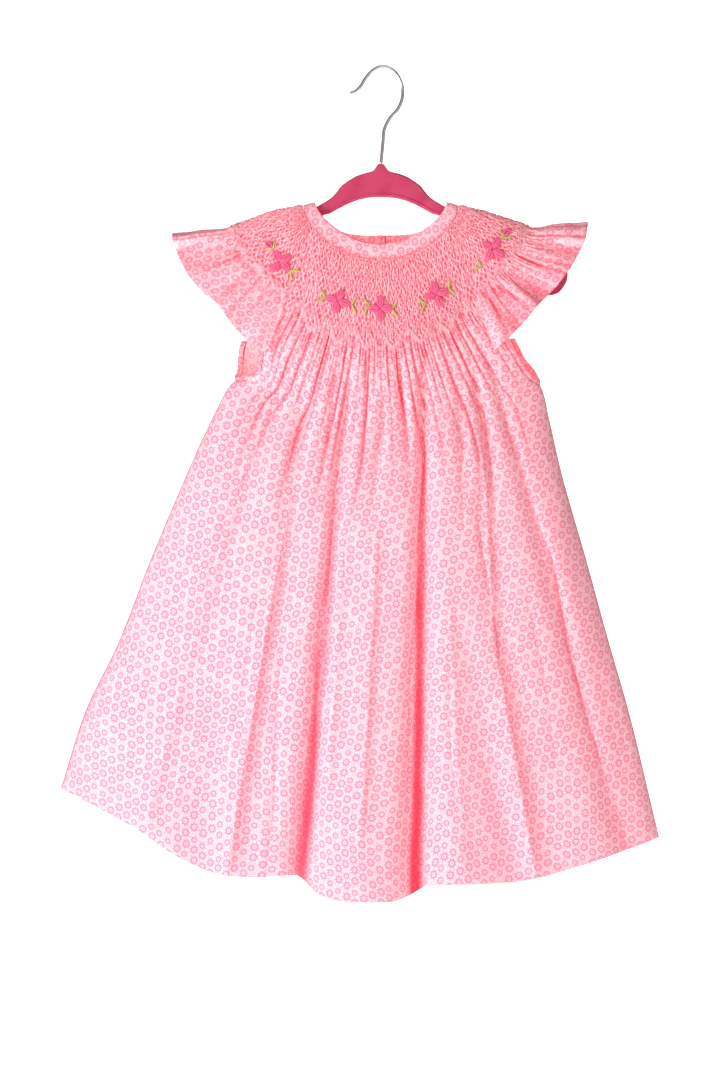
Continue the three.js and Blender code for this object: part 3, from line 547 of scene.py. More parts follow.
def shell(name, outer, inner, rows, columns, uv, shade, materials):
    """A closed thin sheet: a fine outside, a coarser inside on some of its rows and columns,
    and a rim that joins them. shade is a colour for each point of the outside."""
    tall, wide = outer.shape[:2]
    outside = np.arange(tall * wide).reshape(tall, wide)
    inside = tall * wide + np.arange(len(rows) * len(columns)).reshape(len(rows), len(columns))
    pick = np.ix_(rows, columns)
    points = np.concatenate([outer.reshape(-1, 3), inner[pick].reshape(-1, 3)]) * MM

    def quads(grid):
        return np.stack([grid[:-1, :-1], grid[:-1, 1:], grid[1:, 1:], grid[1:, :-1]], -1).reshape(-1, 4)

    faces = [tuple(f) for f in quads(outside).tolist()]
    count_out = len(faces)
    faces += [tuple(f[::-1]) for f in quads(inside).tolist()]
    count_in = len(faces)

    def rim(fine, coarse, marks):
        for a, b, p, q in zip(marks[:-1], marks[1:], coarse[:-1], coarse[1:]):
            for k in range(a, b):
                faces.append((int(fine[k]), int(fine[k + 1]), int(p)))
            faces.append((int(fine[b]), int(q), int(p)))

    rim(outside[0], inside[0], columns)
    rim(outside[-1], inside[-1], columns)
    rim(outside[:, 0], inside[:, 0], rows)
    rim(outside[:, -1], inside[:, -1], rows)
    mesh = mesh_of(name, points.tolist(), faces)
    all_uv = np.concatenate([uv.reshape(-1, 2), uv[pick].reshape(-1, 2)]) * MM
    all_shade = np.concatenate([shade.reshape(-1, 4), shade[pick].reshape(-1, 4)])
    paint(mesh, all_uv, all_shade)
    slots = np.zeros(len(faces), np.int32)
    slots[count_out:count_in] = 1
    mesh.polygons.foreach_set("material_index", slots)
    mend(mesh)
    return place(name, mesh, materials)


def paint(mesh, uv, shade):
    """Gives each corner its cloth coordinate, and each point its shade."""
    layer = mesh.uv_layers.new(name="cloth")
    loops = np.empty(len(mesh.loops), np.int32)
    mesh.loops.foreach_get("vertex_index", loops)
    layer.data.foreach_set("uv", uv[loops].astype(np.float32).ravel())
    attribute = mesh.color_attributes.new(name="shade", type="FLOAT_COLOR", domain="POINT")
    attribute.data.foreach_set("color", shade.astype(np.float32).ravel())


def place(name, mesh, materials):
    for m in materials:
        mesh.materials.append(m)
    mesh.polygons.foreach_set("use_smooth", np.ones(len(mesh.polygons), bool))
    mesh.update()
    piece = bpy.data.objects.new(name, mesh)
    bpy.context.scene.collection.objects.link(piece)
    return piece


def evenly(count, step):
    """Every step-th number up to count - 1, with the last one."""
    picked = list(range(0, count - 1, step))
    return picked + [count - 1]


def shade_and_yoke(painted_shade, yoke, edge=0.0):
    """Colour attribute: red is painted shade, 0 on ridges to 1 in narrow valleys and on the strands'
    undersides, green is how far in the smocking, and blue is painted shadow along a rolled rim and at
    the binding's lapped end."""
    blank = np.zeros(painted_shade.shape)
    return np.stack([painted_shade, np.broadcast_to(yoke, painted_shade.shape), blank + edge, blank + 1], -1)


# Materials

class Nodes:
    """Short calls to build a material's nodes."""

    def __init__(self, name):
        self.material = bpy.data.materials.new(name)
        self.material.use_nodes = True
        self.tree = self.material.node_tree
        self.shader = self.tree.nodes["Principled BSDF"]

    def add(self, kind, inputs=(), **options):
        node = self.tree.nodes.new("ShaderNode" + kind)
        for key, value in options.items():
            setattr(node, key, value)
        for key, value in dict(inputs).items():
            self.feed(node.inputs[key], value)
        return node

    def feed(self, socket, value):
        if isinstance(value, bpy.types.NodeSocket):
            self.tree.links.new(value, socket)
        elif isinstance(value, (int, float)) and hasattr(socket.default_value, "__len__"):
            socket.default_value = (value,) * len(socket.default_value)
        else:
            socket.default_value = value

    def maths(self, operation, a, b=None, c=None, clamp=False):
        node = self.add("Math", operation=operation, use_clamp=clamp)
        for k, value in enumerate((a, b, c)):
            if value is not None:
                self.feed(node.inputs[k], value)
        return node.outputs[0]

    def times(self, a, b):
        return self.maths("MULTIPLY", a, b)

    def plus(self, a, b):
        return self.maths("ADD", a, b)

    def minus(self, a, b):
        return self.maths("SUBTRACT", a, b)

    def times_plus(self, a, b, c):
        return self.maths("MULTIPLY_ADD", a, b, c)

    def noise(self, at, scale, detail=2.0, roughness=0.5, distortion=0.0):
        return self.add("TexNoise", {"Vector": at, "Scale": scale, "Detail": detail,
                                     "Roughness": roughness, "Distortion": distortion})

    def bump(self, height, strength, distance):
        inputs = {"Height": height, "Strength": strength, "Distance": distance}
        return self.add("Bump", inputs).outputs[0]

    def vector(self, operation, a, b=None, scale=None):
        node = self.add("VectorMath", operation=operation)
        self.feed(node.inputs[0], a)
        if b is not None:
            self.feed(node.inputs[1], b)
        if scale is not None:
            self.feed(node.inputs["Scale"], scale)
        return node.outputs[1] if operation == "LENGTH" else node.outputs[0]

    def blend(self, factor, a, b, how="MIX"):
        node = self.add("Mix", data_type="RGBA", blend_type=how)
        self.feed(node.inputs[0], factor)
        self.feed(node.inputs[6], a)
        self.feed(node.inputs[7], b)
        return node.outputs[2]

    def ramp(self, value, low, high):
        """0 below low to 1 above high, or the other way when low is above high."""
        node = self.add("MapRange", {"Value": value, "From Min": low, "From Max": high})
        node.interpolation_type = "SMOOTHSTEP"
        return node.outputs[0]

    def finish(self, **sockets):
        for key, value in sockets.items():
            self.feed(self.shader.inputs[key.replace("_", " ")], value)
        return self.material


def rgb(r, g, b):
    """Display colour, 0 to 255, as linear light."""
    values = [c / 255 for c in (r, g, b)]
    linear = [c / 12.92 if c <= 0.04045 else ((c + 0.055) / 1.055) ** 2.4 for c in values]
    return (*linear, 1.0)


def flower_print(n, coordinate):
    """Small ring flowers scattered on the cloth: returns how strongly each place is printed."""
    pitch = 8.2 * MM
    askew = n.add("VectorRotate", {"Vector": coordinate, "Angle": 0.42}, rotation_type="Z_AXIS")
    drift = n.noise(coordinate, 13.0, 0.0)
    drift = n.vector("SUBTRACT", drift.outputs["Color"], (0.5, 0.5, 0.5))
    drift = n.vector("SCALE", drift, scale=11 * MM)
    laid = n.vector("SCALE", n.vector("ADD", askew.outputs[0], drift), scale=1 / pitch)
    split = n.add("SeparateXYZ", {0: laid})
    high = n.times(split.outputs[1], 1.1)
    row = n.maths("FLOOR", high)
    odd = n.times(n.maths("FLOORED_MODULO", row, 2.0), 0.5)
    across = n.plus(split.outputs[0], odd)
    column = n.maths("FLOOR", across)
    number = n.add("CombineXYZ", {0: column, 1: row, 2: 0.0}).outputs[0]
    chance = n.add("TexWhiteNoise", {"Vector": number}, noise_dimensions="3D")
    lot = n.add("SeparateColor", {0: chance.outputs["Color"]})
    large = n.ramp(chance.outputs["Value"], 0.3, 0.44)
    size = n.times_plus(large, 0.1, 0.36)
    loose = n.times_plus(large, -0.12, 0.24)
    off_x = n.times(n.minus(lot.outputs[0], 0.5), loose)
    off_y = n.times(n.minus(lot.outputs[1], 0.5), loose)
    at_x = n.minus(n.minus(across, column), n.plus(off_x, 0.5))
    at_y = n.minus(n.minus(high, row), n.plus(off_y, 0.5))
    at_y = n.maths("DIVIDE", at_y, 1.1)
    away = n.add("CombineXYZ", {0: at_x, 1: at_y, 2: 0.0}).outputs[0]
    turn = n.plus(n.maths("ARCTAN2", at_y, at_x), n.times(lot.outputs[2], 6.28))
    radius = n.maths("DIVIDE", n.vector("LENGTH", away), size)
    lobes = n.maths("ABSOLUTE", n.maths("SINE", n.times(turn, 4.0)))
    petal = n.times_plus(n.maths("POWER", lobes, 0.6), 0.42, 0.64)
    outer = n.ramp(radius, petal, n.minus(petal, 0.14))
    petals = n.times(n.ramp(radius, 0.37, 0.47), outer)
    notch = n.times(n.ramp(radius, 0.62, 0.72), n.ramp(radius, 0.86, 0.78))
    notch = n.times(notch, n.ramp(lobes, 0.72, 0.95))
    petals = n.maths("SUBTRACT", petals, n.times(notch, 0.55), clamp=True)
    heart = n.ramp(radius, 0.25, 0.14)
    printed = n.maths("MAXIMUM", petals, n.times(heart, 0.8))
    small = n.vector("SCALE", coordinate, scale=1 / (1.35 * MM))
    specks = n.add("TexVoronoi", {"Vector": small, "Scale": 1.0, "Randomness": 1.0},
                   voronoi_dimensions="2D", feature="F1")
    dots = n.ramp(specks.outputs["Distance"], 0.36, 0.2)
    clear = n.ramp(radius, 0.98, 1.15)
    printed = n.maths("MAXIMUM", printed, n.times(n.times(dots, clear), 0.8))
    return printed


def weave(n, coordinate, strength):
    """Bump of a plain weave, with the unevenness of its threads."""
    fine = n.vector("SCALE", coordinate, scale=1 / (0.42 * MM))
    parts = n.add("SeparateXYZ", {0: fine})
    warp = n.maths("SINE", n.times(parts.outputs[0], 6.2832))
    weft = n.maths("SINE", n.times(parts.outputs[1], 6.2832))
    threads = n.times_plus(n.times(warp, weft), 0.5, 0.5)
    slubs = n.noise(coordinate, 900.0, 3.0, 0.6)
    crumple = n.noise(coordinate, 120.0, 4.0, 0.55)
    height = n.times_plus(slubs.outputs[0], 0.8, n.times(threads, 0.4))
    height = n.times_plus(crumple.outputs[0], 1.6, height)
    return n.bump(height, strength, 0.00025)


def cotton(name, ground, motif, valley_shade, fade=1.0, through=0.0):
    """through is how strongly the cloth glows in its own colour, a painted light standing in for the
    light that comes through the cloth from its other side.
    """
    n = Nodes(name)
    coordinate = n.add("UVMap", uv_map="cloth").outputs[0]
    shade = n.add("Attribute", attribute_name="shade")
    split = n.add("SeparateColor", {0: shade.outputs["Color"]})
    painted_shade, yoke = split.outputs[0], split.outputs[1]
    packed = n.vector("MULTIPLY", coordinate, (2.1, 1.25, 1.0))
    where = n.add("Mix", {"Factor": n.ramp(yoke, 0.35, 0.65)}, data_type="VECTOR")
    n.feed(where.inputs[4], coordinate)
    n.feed(where.inputs[5], packed)
    printed = n.times(flower_print(n, where.outputs[1]), fade)
    patches = n.noise(coordinate, 26.0, 3.0)
    base = n.blend(n.times(patches.outputs[0], 0.22), ground, motif)
    color = n.blend(printed, base, motif)
    # Painted shade: the colour turns to the shade colour of the valleys by the shade attribute's red
    color = n.blend(n.times(painted_shade, 0.95), color, valley_shade)
    # Painted shade of fine crinkles in the smocking, from noise
    pressed = n.vector("MULTIPLY", coordinate, (1.0, 0.5, 1.0))
    crinkle = n.noise(pressed, 900.0, distortion=1.4)
    crinkle_shade = n.times(n.ramp(crinkle.outputs[0], 0.52, 0.66), n.times(yoke, 0.42))
    color = n.blend(crinkle_shade, color, valley_shade)
    # Painted shadow along the neck binding's rim and lapped end, from the shade attribute's blue
    color = n.blend(split.outputs[2], color, RIM_SHADOW)
    # The emission is painted light: the cloth glows in its own colour by the amount through
    return n.finish(Base_Color=color, Roughness=0.82, Normal=weave(n, coordinate, 0.55),
                    Sheen_Weight=0.08, Sheen_Roughness=0.5, Specular_IOR_Level=0.2,
                    Emission_Color=color, Emission_Strength=through)


GROUND = rgb(254, 214, 216)
MOTIF = rgb(248, 132, 160)
# Painted colours: the third is painted shade in valleys, creases and gathers, the fourth a painted
# shadow along the neck binding
VALLEY_SHADE = rgb(246, 58, 88)
RIM_SHADOW = rgb(118, 46, 66)
INSIDE_GROUND = rgb(252, 204, 206)
INSIDE_MOTIF = rgb(246, 150, 160)
outside_cotton = cotton("printed_cotton_outside", GROUND, MOTIF, VALLEY_SHADE)
# The inside and the lining glow in their own colour: painted light for the light that comes through the
# thin cotton
inside_cotton = cotton("printed_cotton_inside", INSIDE_GROUND, INSIDE_MOTIF, VALLEY_SHADE, 0.8, 0.42)
lining_cotton = cotton("printed_cotton_lining", GROUND, MOTIF, VALLEY_SHADE, 1.0, 0.18)
cloth_slots = [outside_cotton, inside_cotton]
binding_slots = [outside_cotton, lining_cotton]


def thread_material(name, dark, light, flank_shade, scale):
    """Stranded cotton: a fine twist of darker colour and painted highlight along the coordinate, with
    painted shade on the sides turned away from the way out.
    """
    n = Nodes(name)
    coordinate = n.add("UVMap", uv_map="cloth").outputs[0]
    split = n.add("SeparateColor", {0: n.add("Attribute", attribute_name="shade").outputs["Color"]})
    twist = n.add("TexWave", {"Vector": coordinate, "Scale": scale, "Distortion": 1.2, "Detail": 2.0},
                  bands_direction="DIAGONAL")
    patchy = n.noise(coordinate, 400.0)
    # The twist's light bands are painted highlights on the plies, made uneven by noise
    factor = n.times_plus(twist.outputs["Fac"], 0.7, n.times(patchy.outputs[0], 0.3))
    bump = n.bump(twist.outputs["Fac"], 0.5, 0.0002)
    color = n.blend(split.outputs[0], n.blend(factor, dark, light), flank_shade)
    return n.finish(Base_Color=color, Roughness=0.48, Normal=bump,
                    Sheen_Weight=0.2, Specular_IOR_Level=0.4)


# Each thread: its colour, its painted highlight, the painted shade colour of its sides, and the scale
# of its twist
pink_thread = thread_material(
    "bullion_pink", rgb(236, 54, 110), rgb(251, 122, 166), rgb(204, 20, 76), 900.0)
leaf_thread = thread_material(
    "bullion_leaf", rgb(166, 172, 74), rgb(204, 204, 106), rgb(112, 120, 44), 900.0)
pale_thread = thread_material(
    "trellis_thread", rgb(253, 198, 209), rgb(255, 228, 235), rgb(248, 138, 162), 700.0)
seam_thread = thread_material(
    "seam_thread", rgb(248, 150, 178), rgb(255, 196, 212), rgb(240, 90, 124), 700.0)


def flock():
    n = Nodes("flocked_pink")
    coordinate = n.add("TexCoord").outputs["Object"]
    nap = n.noise(coordinate, 2600.0, 3.0, 0.7)
    smudge = n.noise(coordinate, 70.0, 4.0, 0.6)
    drift = n.noise(coordinate, 24.0)
    color = n.blend(n.ramp(smudge.outputs[0], 0.4, 0.8), rgb(194, 72, 104), rgb(176, 54, 86))
    color = n.blend(n.ramp(drift.outputs[0], 0.52, 0.75), color, rgb(202, 88, 120))
    color = n.blend(n.times(nap.outputs[0], 0.35), color, rgb(150, 34, 66))
    bump = n.bump(nap.outputs[0], 0.7, 0.0003)
    return n.finish(Base_Color=color, Roughness=0.95, Normal=bump, Sheen_Weight=0.55,
                    Sheen_Roughness=0.45, Sheen_Tint=rgb(255, 160, 190), Specular_IOR_Level=0.1)


def chrome():
    n = Nodes("chrome_steel")
    coordinate = n.add("TexCoord").outputs["Object"]
    streaks = n.noise(n.vector("MULTIPLY", coordinate, (900.0, 900.0, 120.0)), 1.0, 4.0)
    rough = n.ramp(streaks.outputs[0], 0.3, 0.8)
    bump = n.bump(streaks.outputs[0], 0.08, 0.0001)
    return n.finish(Base_Color=rgb(194, 198, 207), Metallic=1.0, Normal=bump,
                    Roughness=n.times_plus(rough, 0.14, 0.12))


def pearl():
    n = Nodes("pearl_button")
    coordinate = n.add("TexCoord").outputs["Object"]
    swirl = n.noise(coordinate, 420.0, distortion=1.5)
    color = n.blend(n.ramp(swirl.outputs[0], 0.35, 0.65), rgb(250, 214, 224), rgb(238, 176, 196))
    return n.finish(Base_Color=color, Roughness=0.22, Coat_Weight=0.5, Coat_Roughness=0.1)


# Panels

PLEATS_FRONT = 84
ROWS_OF_STITCH = 20


TRELLIS_POINTS = 7


def zigzag(t):
    """A wave of straight lines: 1 at whole numbers, 0 half-way between them."""
    return np.abs((t % 1) * 2 - 1)


def yoke_edge(u):
    """Where the smocking ends, with the points of its trellis."""
    return YOKE_END - 0.006 + 0.024 * (zigzag(u * TRELLIS_POINTS + 0.05) - 0.5)


def panel_piece(name, panel, u_from, u_to, columns, v_rows, open_gap=(0.0, 0.0)):
    """A panel's cloth. open_gap moves its first and last columns inward by so many mm."""
    u = np.linspace(u_from, u_to, columns)[None, :]
    v = np.asarray(v_rows)[:, None]
    u, v = np.broadcast_arrays(u, v)
    base = panel_points(panel, u, v)
    facing = np.array([0.0, panel["face"], 0.0])
    normal = grid_normals(base, facing)
    edge = smooth(0, 0.02, u) * smooth(0, 0.02, 1 - u)
    brink = mix(1, edge, smooth(0.1, 0.16, v))
    s = u * PLEATS_FRONT + 0.5
    start = yoke_edge(u)
    in_yoke = 1 - smooth(-0.004, 0.006, v - start)
    relief = smocking(s, v / YOKE_END * ROWS_OF_STITCH)
    top = smooth(0.0, 0.006, v)
    pleat = 1.6 * relief * in_yoke * top
    gather = gathers(s, v, start, PLEATS_FRONT) * brink
    even = slack(base[..., 0], base[..., 2]) * smooth(0.2, 0.35, v) * edge
    middle = base + normal * (even - gather + 0.2)[..., None]
    outer = middle + normal * pleat[..., None]
    inner = middle - normal * CLOTH
    for grid in (outer, inner):
        grid[:, 0, 0] += open_gap[0]
        grid[:, -1, 0] -= open_gap[1]
        grid[0, :, 2] -= SEAM_GAP / 2
    walked = lengths(base, [0, 1])
    walked = walked - mix(walked[:, :1], walked[:, -1:], 0.5) + 400 * (u_from + u_to - 1)
    fallen = lengths(np.swapaxes(base, 0, 1), [1, 2]).T - base[:1, :, 2]
    uv = np.stack([walked + 37.0, fallen], -1)
    # Painted shade: where the cloth lies behind its neighbours, between the smocked pleats, which also
    # stands for the print bunched there, and in the gathers
    painted_shade = hollows(middle, panel["face"])
    pleat_shade = 0.7 * smooth(0.42, 1.0, 1 - relief) * in_yoke
    gather_shade = np.clip(gather / 2.0, 0, 1) * 0.9
    lasting = mix(0.88, 0.94, smooth(0.3, 0.6, v))
    painted_shade = np.maximum.reduce([painted_shade * lasting, pleat_shade, gather_shade])
    rows = evenly(len(v_rows), 3)
    piece = shell(name, outer, inner, rows, evenly(columns, 3), uv, shade_and_yoke(painted_shade, in_yoke), cloth_slots)
    return piece, base


def spread(yoke, skirt):
    """Rows of a panel: close together in the smocking, wider apart down the skirt."""
    upper = np.linspace(0, YOKE_END + 0.02, yoke, endpoint=False)
    lower = YOKE_END + 0.02 + (0.98 - YOKE_END) * np.linspace(0, 1, skirt) ** 1.25
    return np.concatenate([upper, lower])


front, front_base = panel_piece(
    "front_cloth", FRONT, 0.0, 1.0, 433, spread(112, 72))
back_left, _ = panel_piece(
    "back_left_cloth", BACK, 0.0, 0.5, 181, spread(90, 60), (0.0, 0.2))
back_right, _ = panel_piece(
    "back_right_cloth", BACK, 0.5, 1.0, 181, spread(90, 60), (0.2, 0.0))

# Sleeves: the top fold and the free edge, from the neck and the top outward
LEFT_SLEEVE = dict(side=-1, ridge=[
    (0.0, -62.4, -110.4), (0.25, -88.0, -115.8), (0.45, -109.0, -123.6), (0.6, -124.0, -128.0),
    (0.8, -146.0, -129.8), (1.0, -168.0, -132.0),
], ruffle=[
    (0.0, -168.0, -132.0), (0.14, -166.5, -142.0), (0.3, -157.0, -162.4), (0.46, -145.0, -178.5),
    (0.6, -132.0, -189.0), (0.8, -114.0, -212.5), (1.0, -91.2, -230.4),
])
RIGHT_SLEEVE = dict(side=1, ridge=[
    (0.0, 62.4, -110.4), (0.25, 87.0, -116.8), (0.45, 106.0, -123.0), (0.6, 122.0, -127.4),
    (0.78, 140.0, -125.8), (1.0, 166.4, -124.8),
], ruffle=[
    (0.0, 166.4, -124.8), (0.14, 163.0, -140.0), (0.3, 153.0, -159.0), (0.46, 140.5, -176.0),
    (0.6, 127.0, -189.5), (0.8, 111.0, -208.5), (1.0, 90.8, -227.6),
])
SLEEVE_SEAM = [
    (0.0, RAGLAN_HALF, FRONT_CORNER[2], -FRONT_CORNER[1]),
    (0.56, 75.0, -185.0, 18.6), (0.62, 77.2, -191.6, 21.2), (0.8, 84.0, -210.0, 23.5),
    (1.0, 91.0, -229.0, 24.5),
]
# Creases of the sleeves' fronts, as on the panels
LEFT_CREASES = [
    (-139, -143, -114, -147, 1.8, 2.4, 0.4, 0.9),
    (-114, -147, -100, -164, 2.4, 1.6, 0.9, 0.6),
    (-138, -180, -118, -173, 2.4, 2.0, 0.7, 0.9),
    (-118, -173, -96, -173, 2.0, 1.4, 0.9, 0.6),
    (-112, -205, -92, -180, 2.6, 1.6, 0.6, 0.8),
    (-150, -158, -120, -158, 3.6, 2.4, 0.6, 0.3),
]
RIGHT_CREASES = [
    (114, -152, 148, -172, 1.2, 2.8, 1.6, 1.4),
    (92, -174, 125, -197, 1.2, 2.4, 1.9, 1.5),
    (80, -178, 110, -212, 1.1, 2.2, 1.6, 1.2),
    (104, -164, 137, -182, 1.2, 2.6, 1.3, 1.5),
    (86, -172, 117, -203, 1.0, 2.0, 1.0, 1.1),
    (122, -140, 158, -150, 1.4, 3.0, 1.0, 1.2),
]
SLEEVE_SMOCKED = 0.56
RUFFLE_WAVES = 3.5
RUFFLE_WAVE = 4.5
BACK_RISE = BACK_CORNER[2] - FRONT_CORNER[2]
BACK_SHARE = 0.92
SLEEVE_PLEATS = 62
SLEEVE_ROWS = 34


def sleeve_points(sleeve, s, t):
    """Points of a sleeve: s outward from the neck, t from the front seam over the top to the back."""
    side = sleeve["side"]
    turn = np.abs(t)
    lean = mix(math.pi / 2, RAGLAN_ANGLE, turn)
    neck = neck_point(NECK_SEAM, side * np.where(t <= 0, lean, math.pi - lean))
    back = np.where(t > 0, BACK_RISE * (1 - s), 0)
    seam = {
        X: along(SLEEVE_SEAM, s, X) * side,
        Z: along(SLEEVE_SEAM, s, Z) + back,
    }
    seam_y = along(SLEEVE_SEAM, s, Y)
    start = {X: RAGLAN_HALF * side, Z: SLEEVE_SEAM[0][2] + np.where(t > 0, BACK_RISE, 0)}
    seam_end = sleeve["ruffle"][-1]
    end = SLEEVE_SEAM[-1]
    drift = {X: seam_end[1] - end[1] * side, Z: seam_end[2] - end[2]}
    place_at = {}
    for key in (X, Z):
        ridge = along(sleeve["ridge"], s, key)
        low = seam[key] + drift[key] * s ** 4
        edge = along(sleeve["ruffle"], turn, key)
        neck_line = mix(sleeve["ridge"][0][key], start[key], turn)
        edge_line = mix(sleeve["ruffle"][0][key], seam_end[key], turn)
        at_neck = neck[..., 0] if key == X else neck[..., 2]
        place_at[key] = (mix(ridge, low, turn) + (1 - s) * (at_neck - neck_line)
                         + s * (edge - edge_line))
    round_over = np.sqrt(np.maximum(1 - (1 - turn) ** 2.4, 0))
    calm = smooth(0, 0.12, turn) * smooth(0, 0.12, 1 - turn)
    wave = (RUFFLE_WAVE * calm * smooth(SLEEVE_SMOCKED, 1, s)
            * np.sin(2 * math.pi * RUFFLE_WAVES * turn))
    opened = smooth(0, 0.14, s)
    bow = mix(np.abs(neck[..., 1]), seam_y * round_over, opened)
    share = np.where(t > 0, mix(1, BACK_SHARE, opened), 1)
    face = np.where(t <= 0, -1, 1)
    return np.stack([place_at[X], face * (bow * share + wave), place_at[Z]], -1)


def sleeve_piece(name, sleeve, creases, lively):
    """A sleeve's cloth. lively is how strongly it flutters, from 0 to 1."""
    side = sleeve["side"]
    steps, lanes, close = 150, 373, 105
    s = np.concatenate([np.linspace(0, 0.6, close, endpoint=False),
                        np.linspace(0.6, 1, steps - close)])[:, None]
    t = np.linspace(-1, 1, lanes)
    t = (np.sign(t) * np.abs(t) ** 1.25)[None, :]
    s, t = np.broadcast_arrays(s, t)
    base = sleeve_points(sleeve, s, t)
    turn = np.abs(t)
    facing = np.stack([np.zeros(t.shape), t, 1 - turn * 0.9], -1)
    normal = grid_normals(base, facing)
    edge = smooth(0, 0.05, 1 - turn)
    p = (t + 1) / 2 * SLEEVE_PLEATS
    start = SLEEVE_SMOCKED + 0.04 * (zigzag(p / 8) - 0.5)
    in_yoke = 1 - smooth(-0.02, 0.03, s - start)
    relief = smocking(p, s * SLEEVE_ROWS)
    top = smooth(0, 0.03, s)
    pleat = 1.55 * relief * in_yoke * top
    gather = gathers(p, s * 0.3, start * 0.3, SLEEVE_PLEATS) * edge * mix(0.5, 1.0, lively)
    gather = gather + crease_depth(creases, base[..., 0], base[..., 2]) * (t < 0) * edge * (1 - in_yoke)
    flare = smooth(SLEEVE_SMOCKED, 1, s)
    flutter = np.sin(2 * math.pi * 5.3 * turn + 0.9 * side + 2.2 * np.sin(3 * t))
    flute = mix(0.5, 1.5, lively) * flare * flutter * edge
    crumple = slack(base[..., 0] * 2.2, base[..., 2] * 2.2) * flare * edge
    middle = base + normal * (flute + crumple - gather + 0.2)[..., None]
    outer = middle + normal * pleat[..., None]
    inner = middle - normal * CLOTH
    for grid in (outer, inner):
        for brink in (np.s_[:, 0, 0], np.s_[:, -1, 0], np.s_[0, :, 0]):
            grid[brink] += side * SEAM_GAP / 3
    around = lengths(base, [1, 2])
    centre = around[:, lanes // 2][:, None]
    uv = np.stack([base[..., 0] + side * 300.0, np.abs(around - centre) + 120.0 * (t > 0)], -1)
    # Painted shade: outside the smocking where the sleeve lies below its mean height, between the
    # smocked pleats, and in its gathers and creases
    lift = np.sum((outer - base) * normal, -1)
    level = lift - lift.mean()
    painted_shade = np.clip(-level / 3.4, 0, 1) * 0.6
    pleat_shade = 0.7 * smooth(0.42, 1.0, 1 - relief) * in_yoke
    gather_shade = np.clip(gather / 2.4, 0, 1) * mix(0.6, 0.8, lively)
    painted_shade = np.maximum.reduce([painted_shade * (1 - in_yoke), pleat_shade, gather_shade])
    piece = shell(name, outer, inner, evenly(steps, 2), evenly(lanes, 2), uv,
                  shade_and_yoke(painted_shade, in_yoke), cloth_slots)
    return piece, base


sleeve_left, left_base = sleeve_piece("sleeve_left_cloth", LEFT_SLEEVE, LEFT_CREASES, 0.2)
sleeve_right, right_base = sleeve_piece("sleeve_right_cloth", RIGHT_SLEEVE, RIGHT_CREASES, 0.8)

# Bindings


def neck_band():
    """Folded bias band round the neck, lapped at the centre back."""
    steps, across = 420, 15
    lap = BINDING_LAP / NECK_SEAM["half"] / 2
    angle = np.linspace(-math.pi - lap, math.pi + lap, steps)
    seam = neck_point(NECK_SEAM, angle)
    rim = neck_point(NECK_RIM, angle)
    n = neck_normal(angle)
    climb = smooth(math.pi - 0.55, math.pi - 2 * lap, angle)
    shift = climb * (BINDING + SEAM_GAP)
    upward = unit(rim - seam)
    bottom = seam + upward * SEAM_GAP + n * shift[:, None]
    upper = rim + n * shift[:, None]
    share = np.linspace(0, 1, across)
    swell = 0.32 * np.sin(math.pi * share) ** 0.6
    swell = swell - 0.5 * np.clip((share - 0.8) / 0.2, 0, 1) ** 2
    puckers = 0.14 * np.sin(angle * 95) * (1 - smooth(0.1, 0.5, share))[:, None]
    ease = 0.16 * np.sin(angle * 31 + 2 * np.sin(angle * 7)) * np.sin(math.pi * share)[:, None]
    line = mix(bottom[None], upper[None], share[:, None, None])
    outer = line + n[None] * (swell[:, None] + puckers + ease)[..., None]
    inner = line - n[None] * (BINDING * (0.8 - 0.35 * share)[:, None, None])
    step = distance_along(seam)
    high = np.linalg.norm(upper - bottom, axis=-1)
    uv = np.stack([np.broadcast_to(step, line.shape[:2]), share[:, None] * high[None, :]], -1)
    # Painted shade at the band's foot and in the dips of its puckers; painted shadow at its lapped end,
    # and a line of painted shade where it is stitched down
    foot = 1 - smooth(0, 0.16, share)
    painted_shade = np.clip(foot[:, None] * 0.5 - puckers * 1.2, 0, 1)
    from_end = np.minimum(step, step[-1] - step)
    end_shade = np.exp(-(from_end / 0.7) ** 2)
    end_shade = end_shade + 0.7 * np.exp(-((from_end - BINDING_STITCHED) / 0.5) ** 2)
    # Painted shadow along the top of the front rim on the left and at the first lapped end, carried in
    # the attribute's blue
    rolled = smooth(-1.0, -0.7, angle) * (1 - smooth(-0.2, 0.14, angle)) * 0.85
    edge = np.maximum(rolled[None] * smooth(0.93, 1.0, share)[:, None],
                      np.exp(-(step / 1.1) ** 2)[None] * 0.9)
    painted_shade = np.maximum(painted_shade, np.clip(end_shade, 0, 1)[None])
    columns = sorted(set(evenly(steps, 3)) | set(range(12)) | set(range(steps - 12, steps)))
    piece = shell("neck_binding_cloth", outer, inner, evenly(across, 2), columns, uv,
                  shade_and_yoke(painted_shade, 0.0, edge), binding_slots)
    return piece, line, n


neck, neck_line, neck_out = neck_band()


BAND_WIDE = 3.6


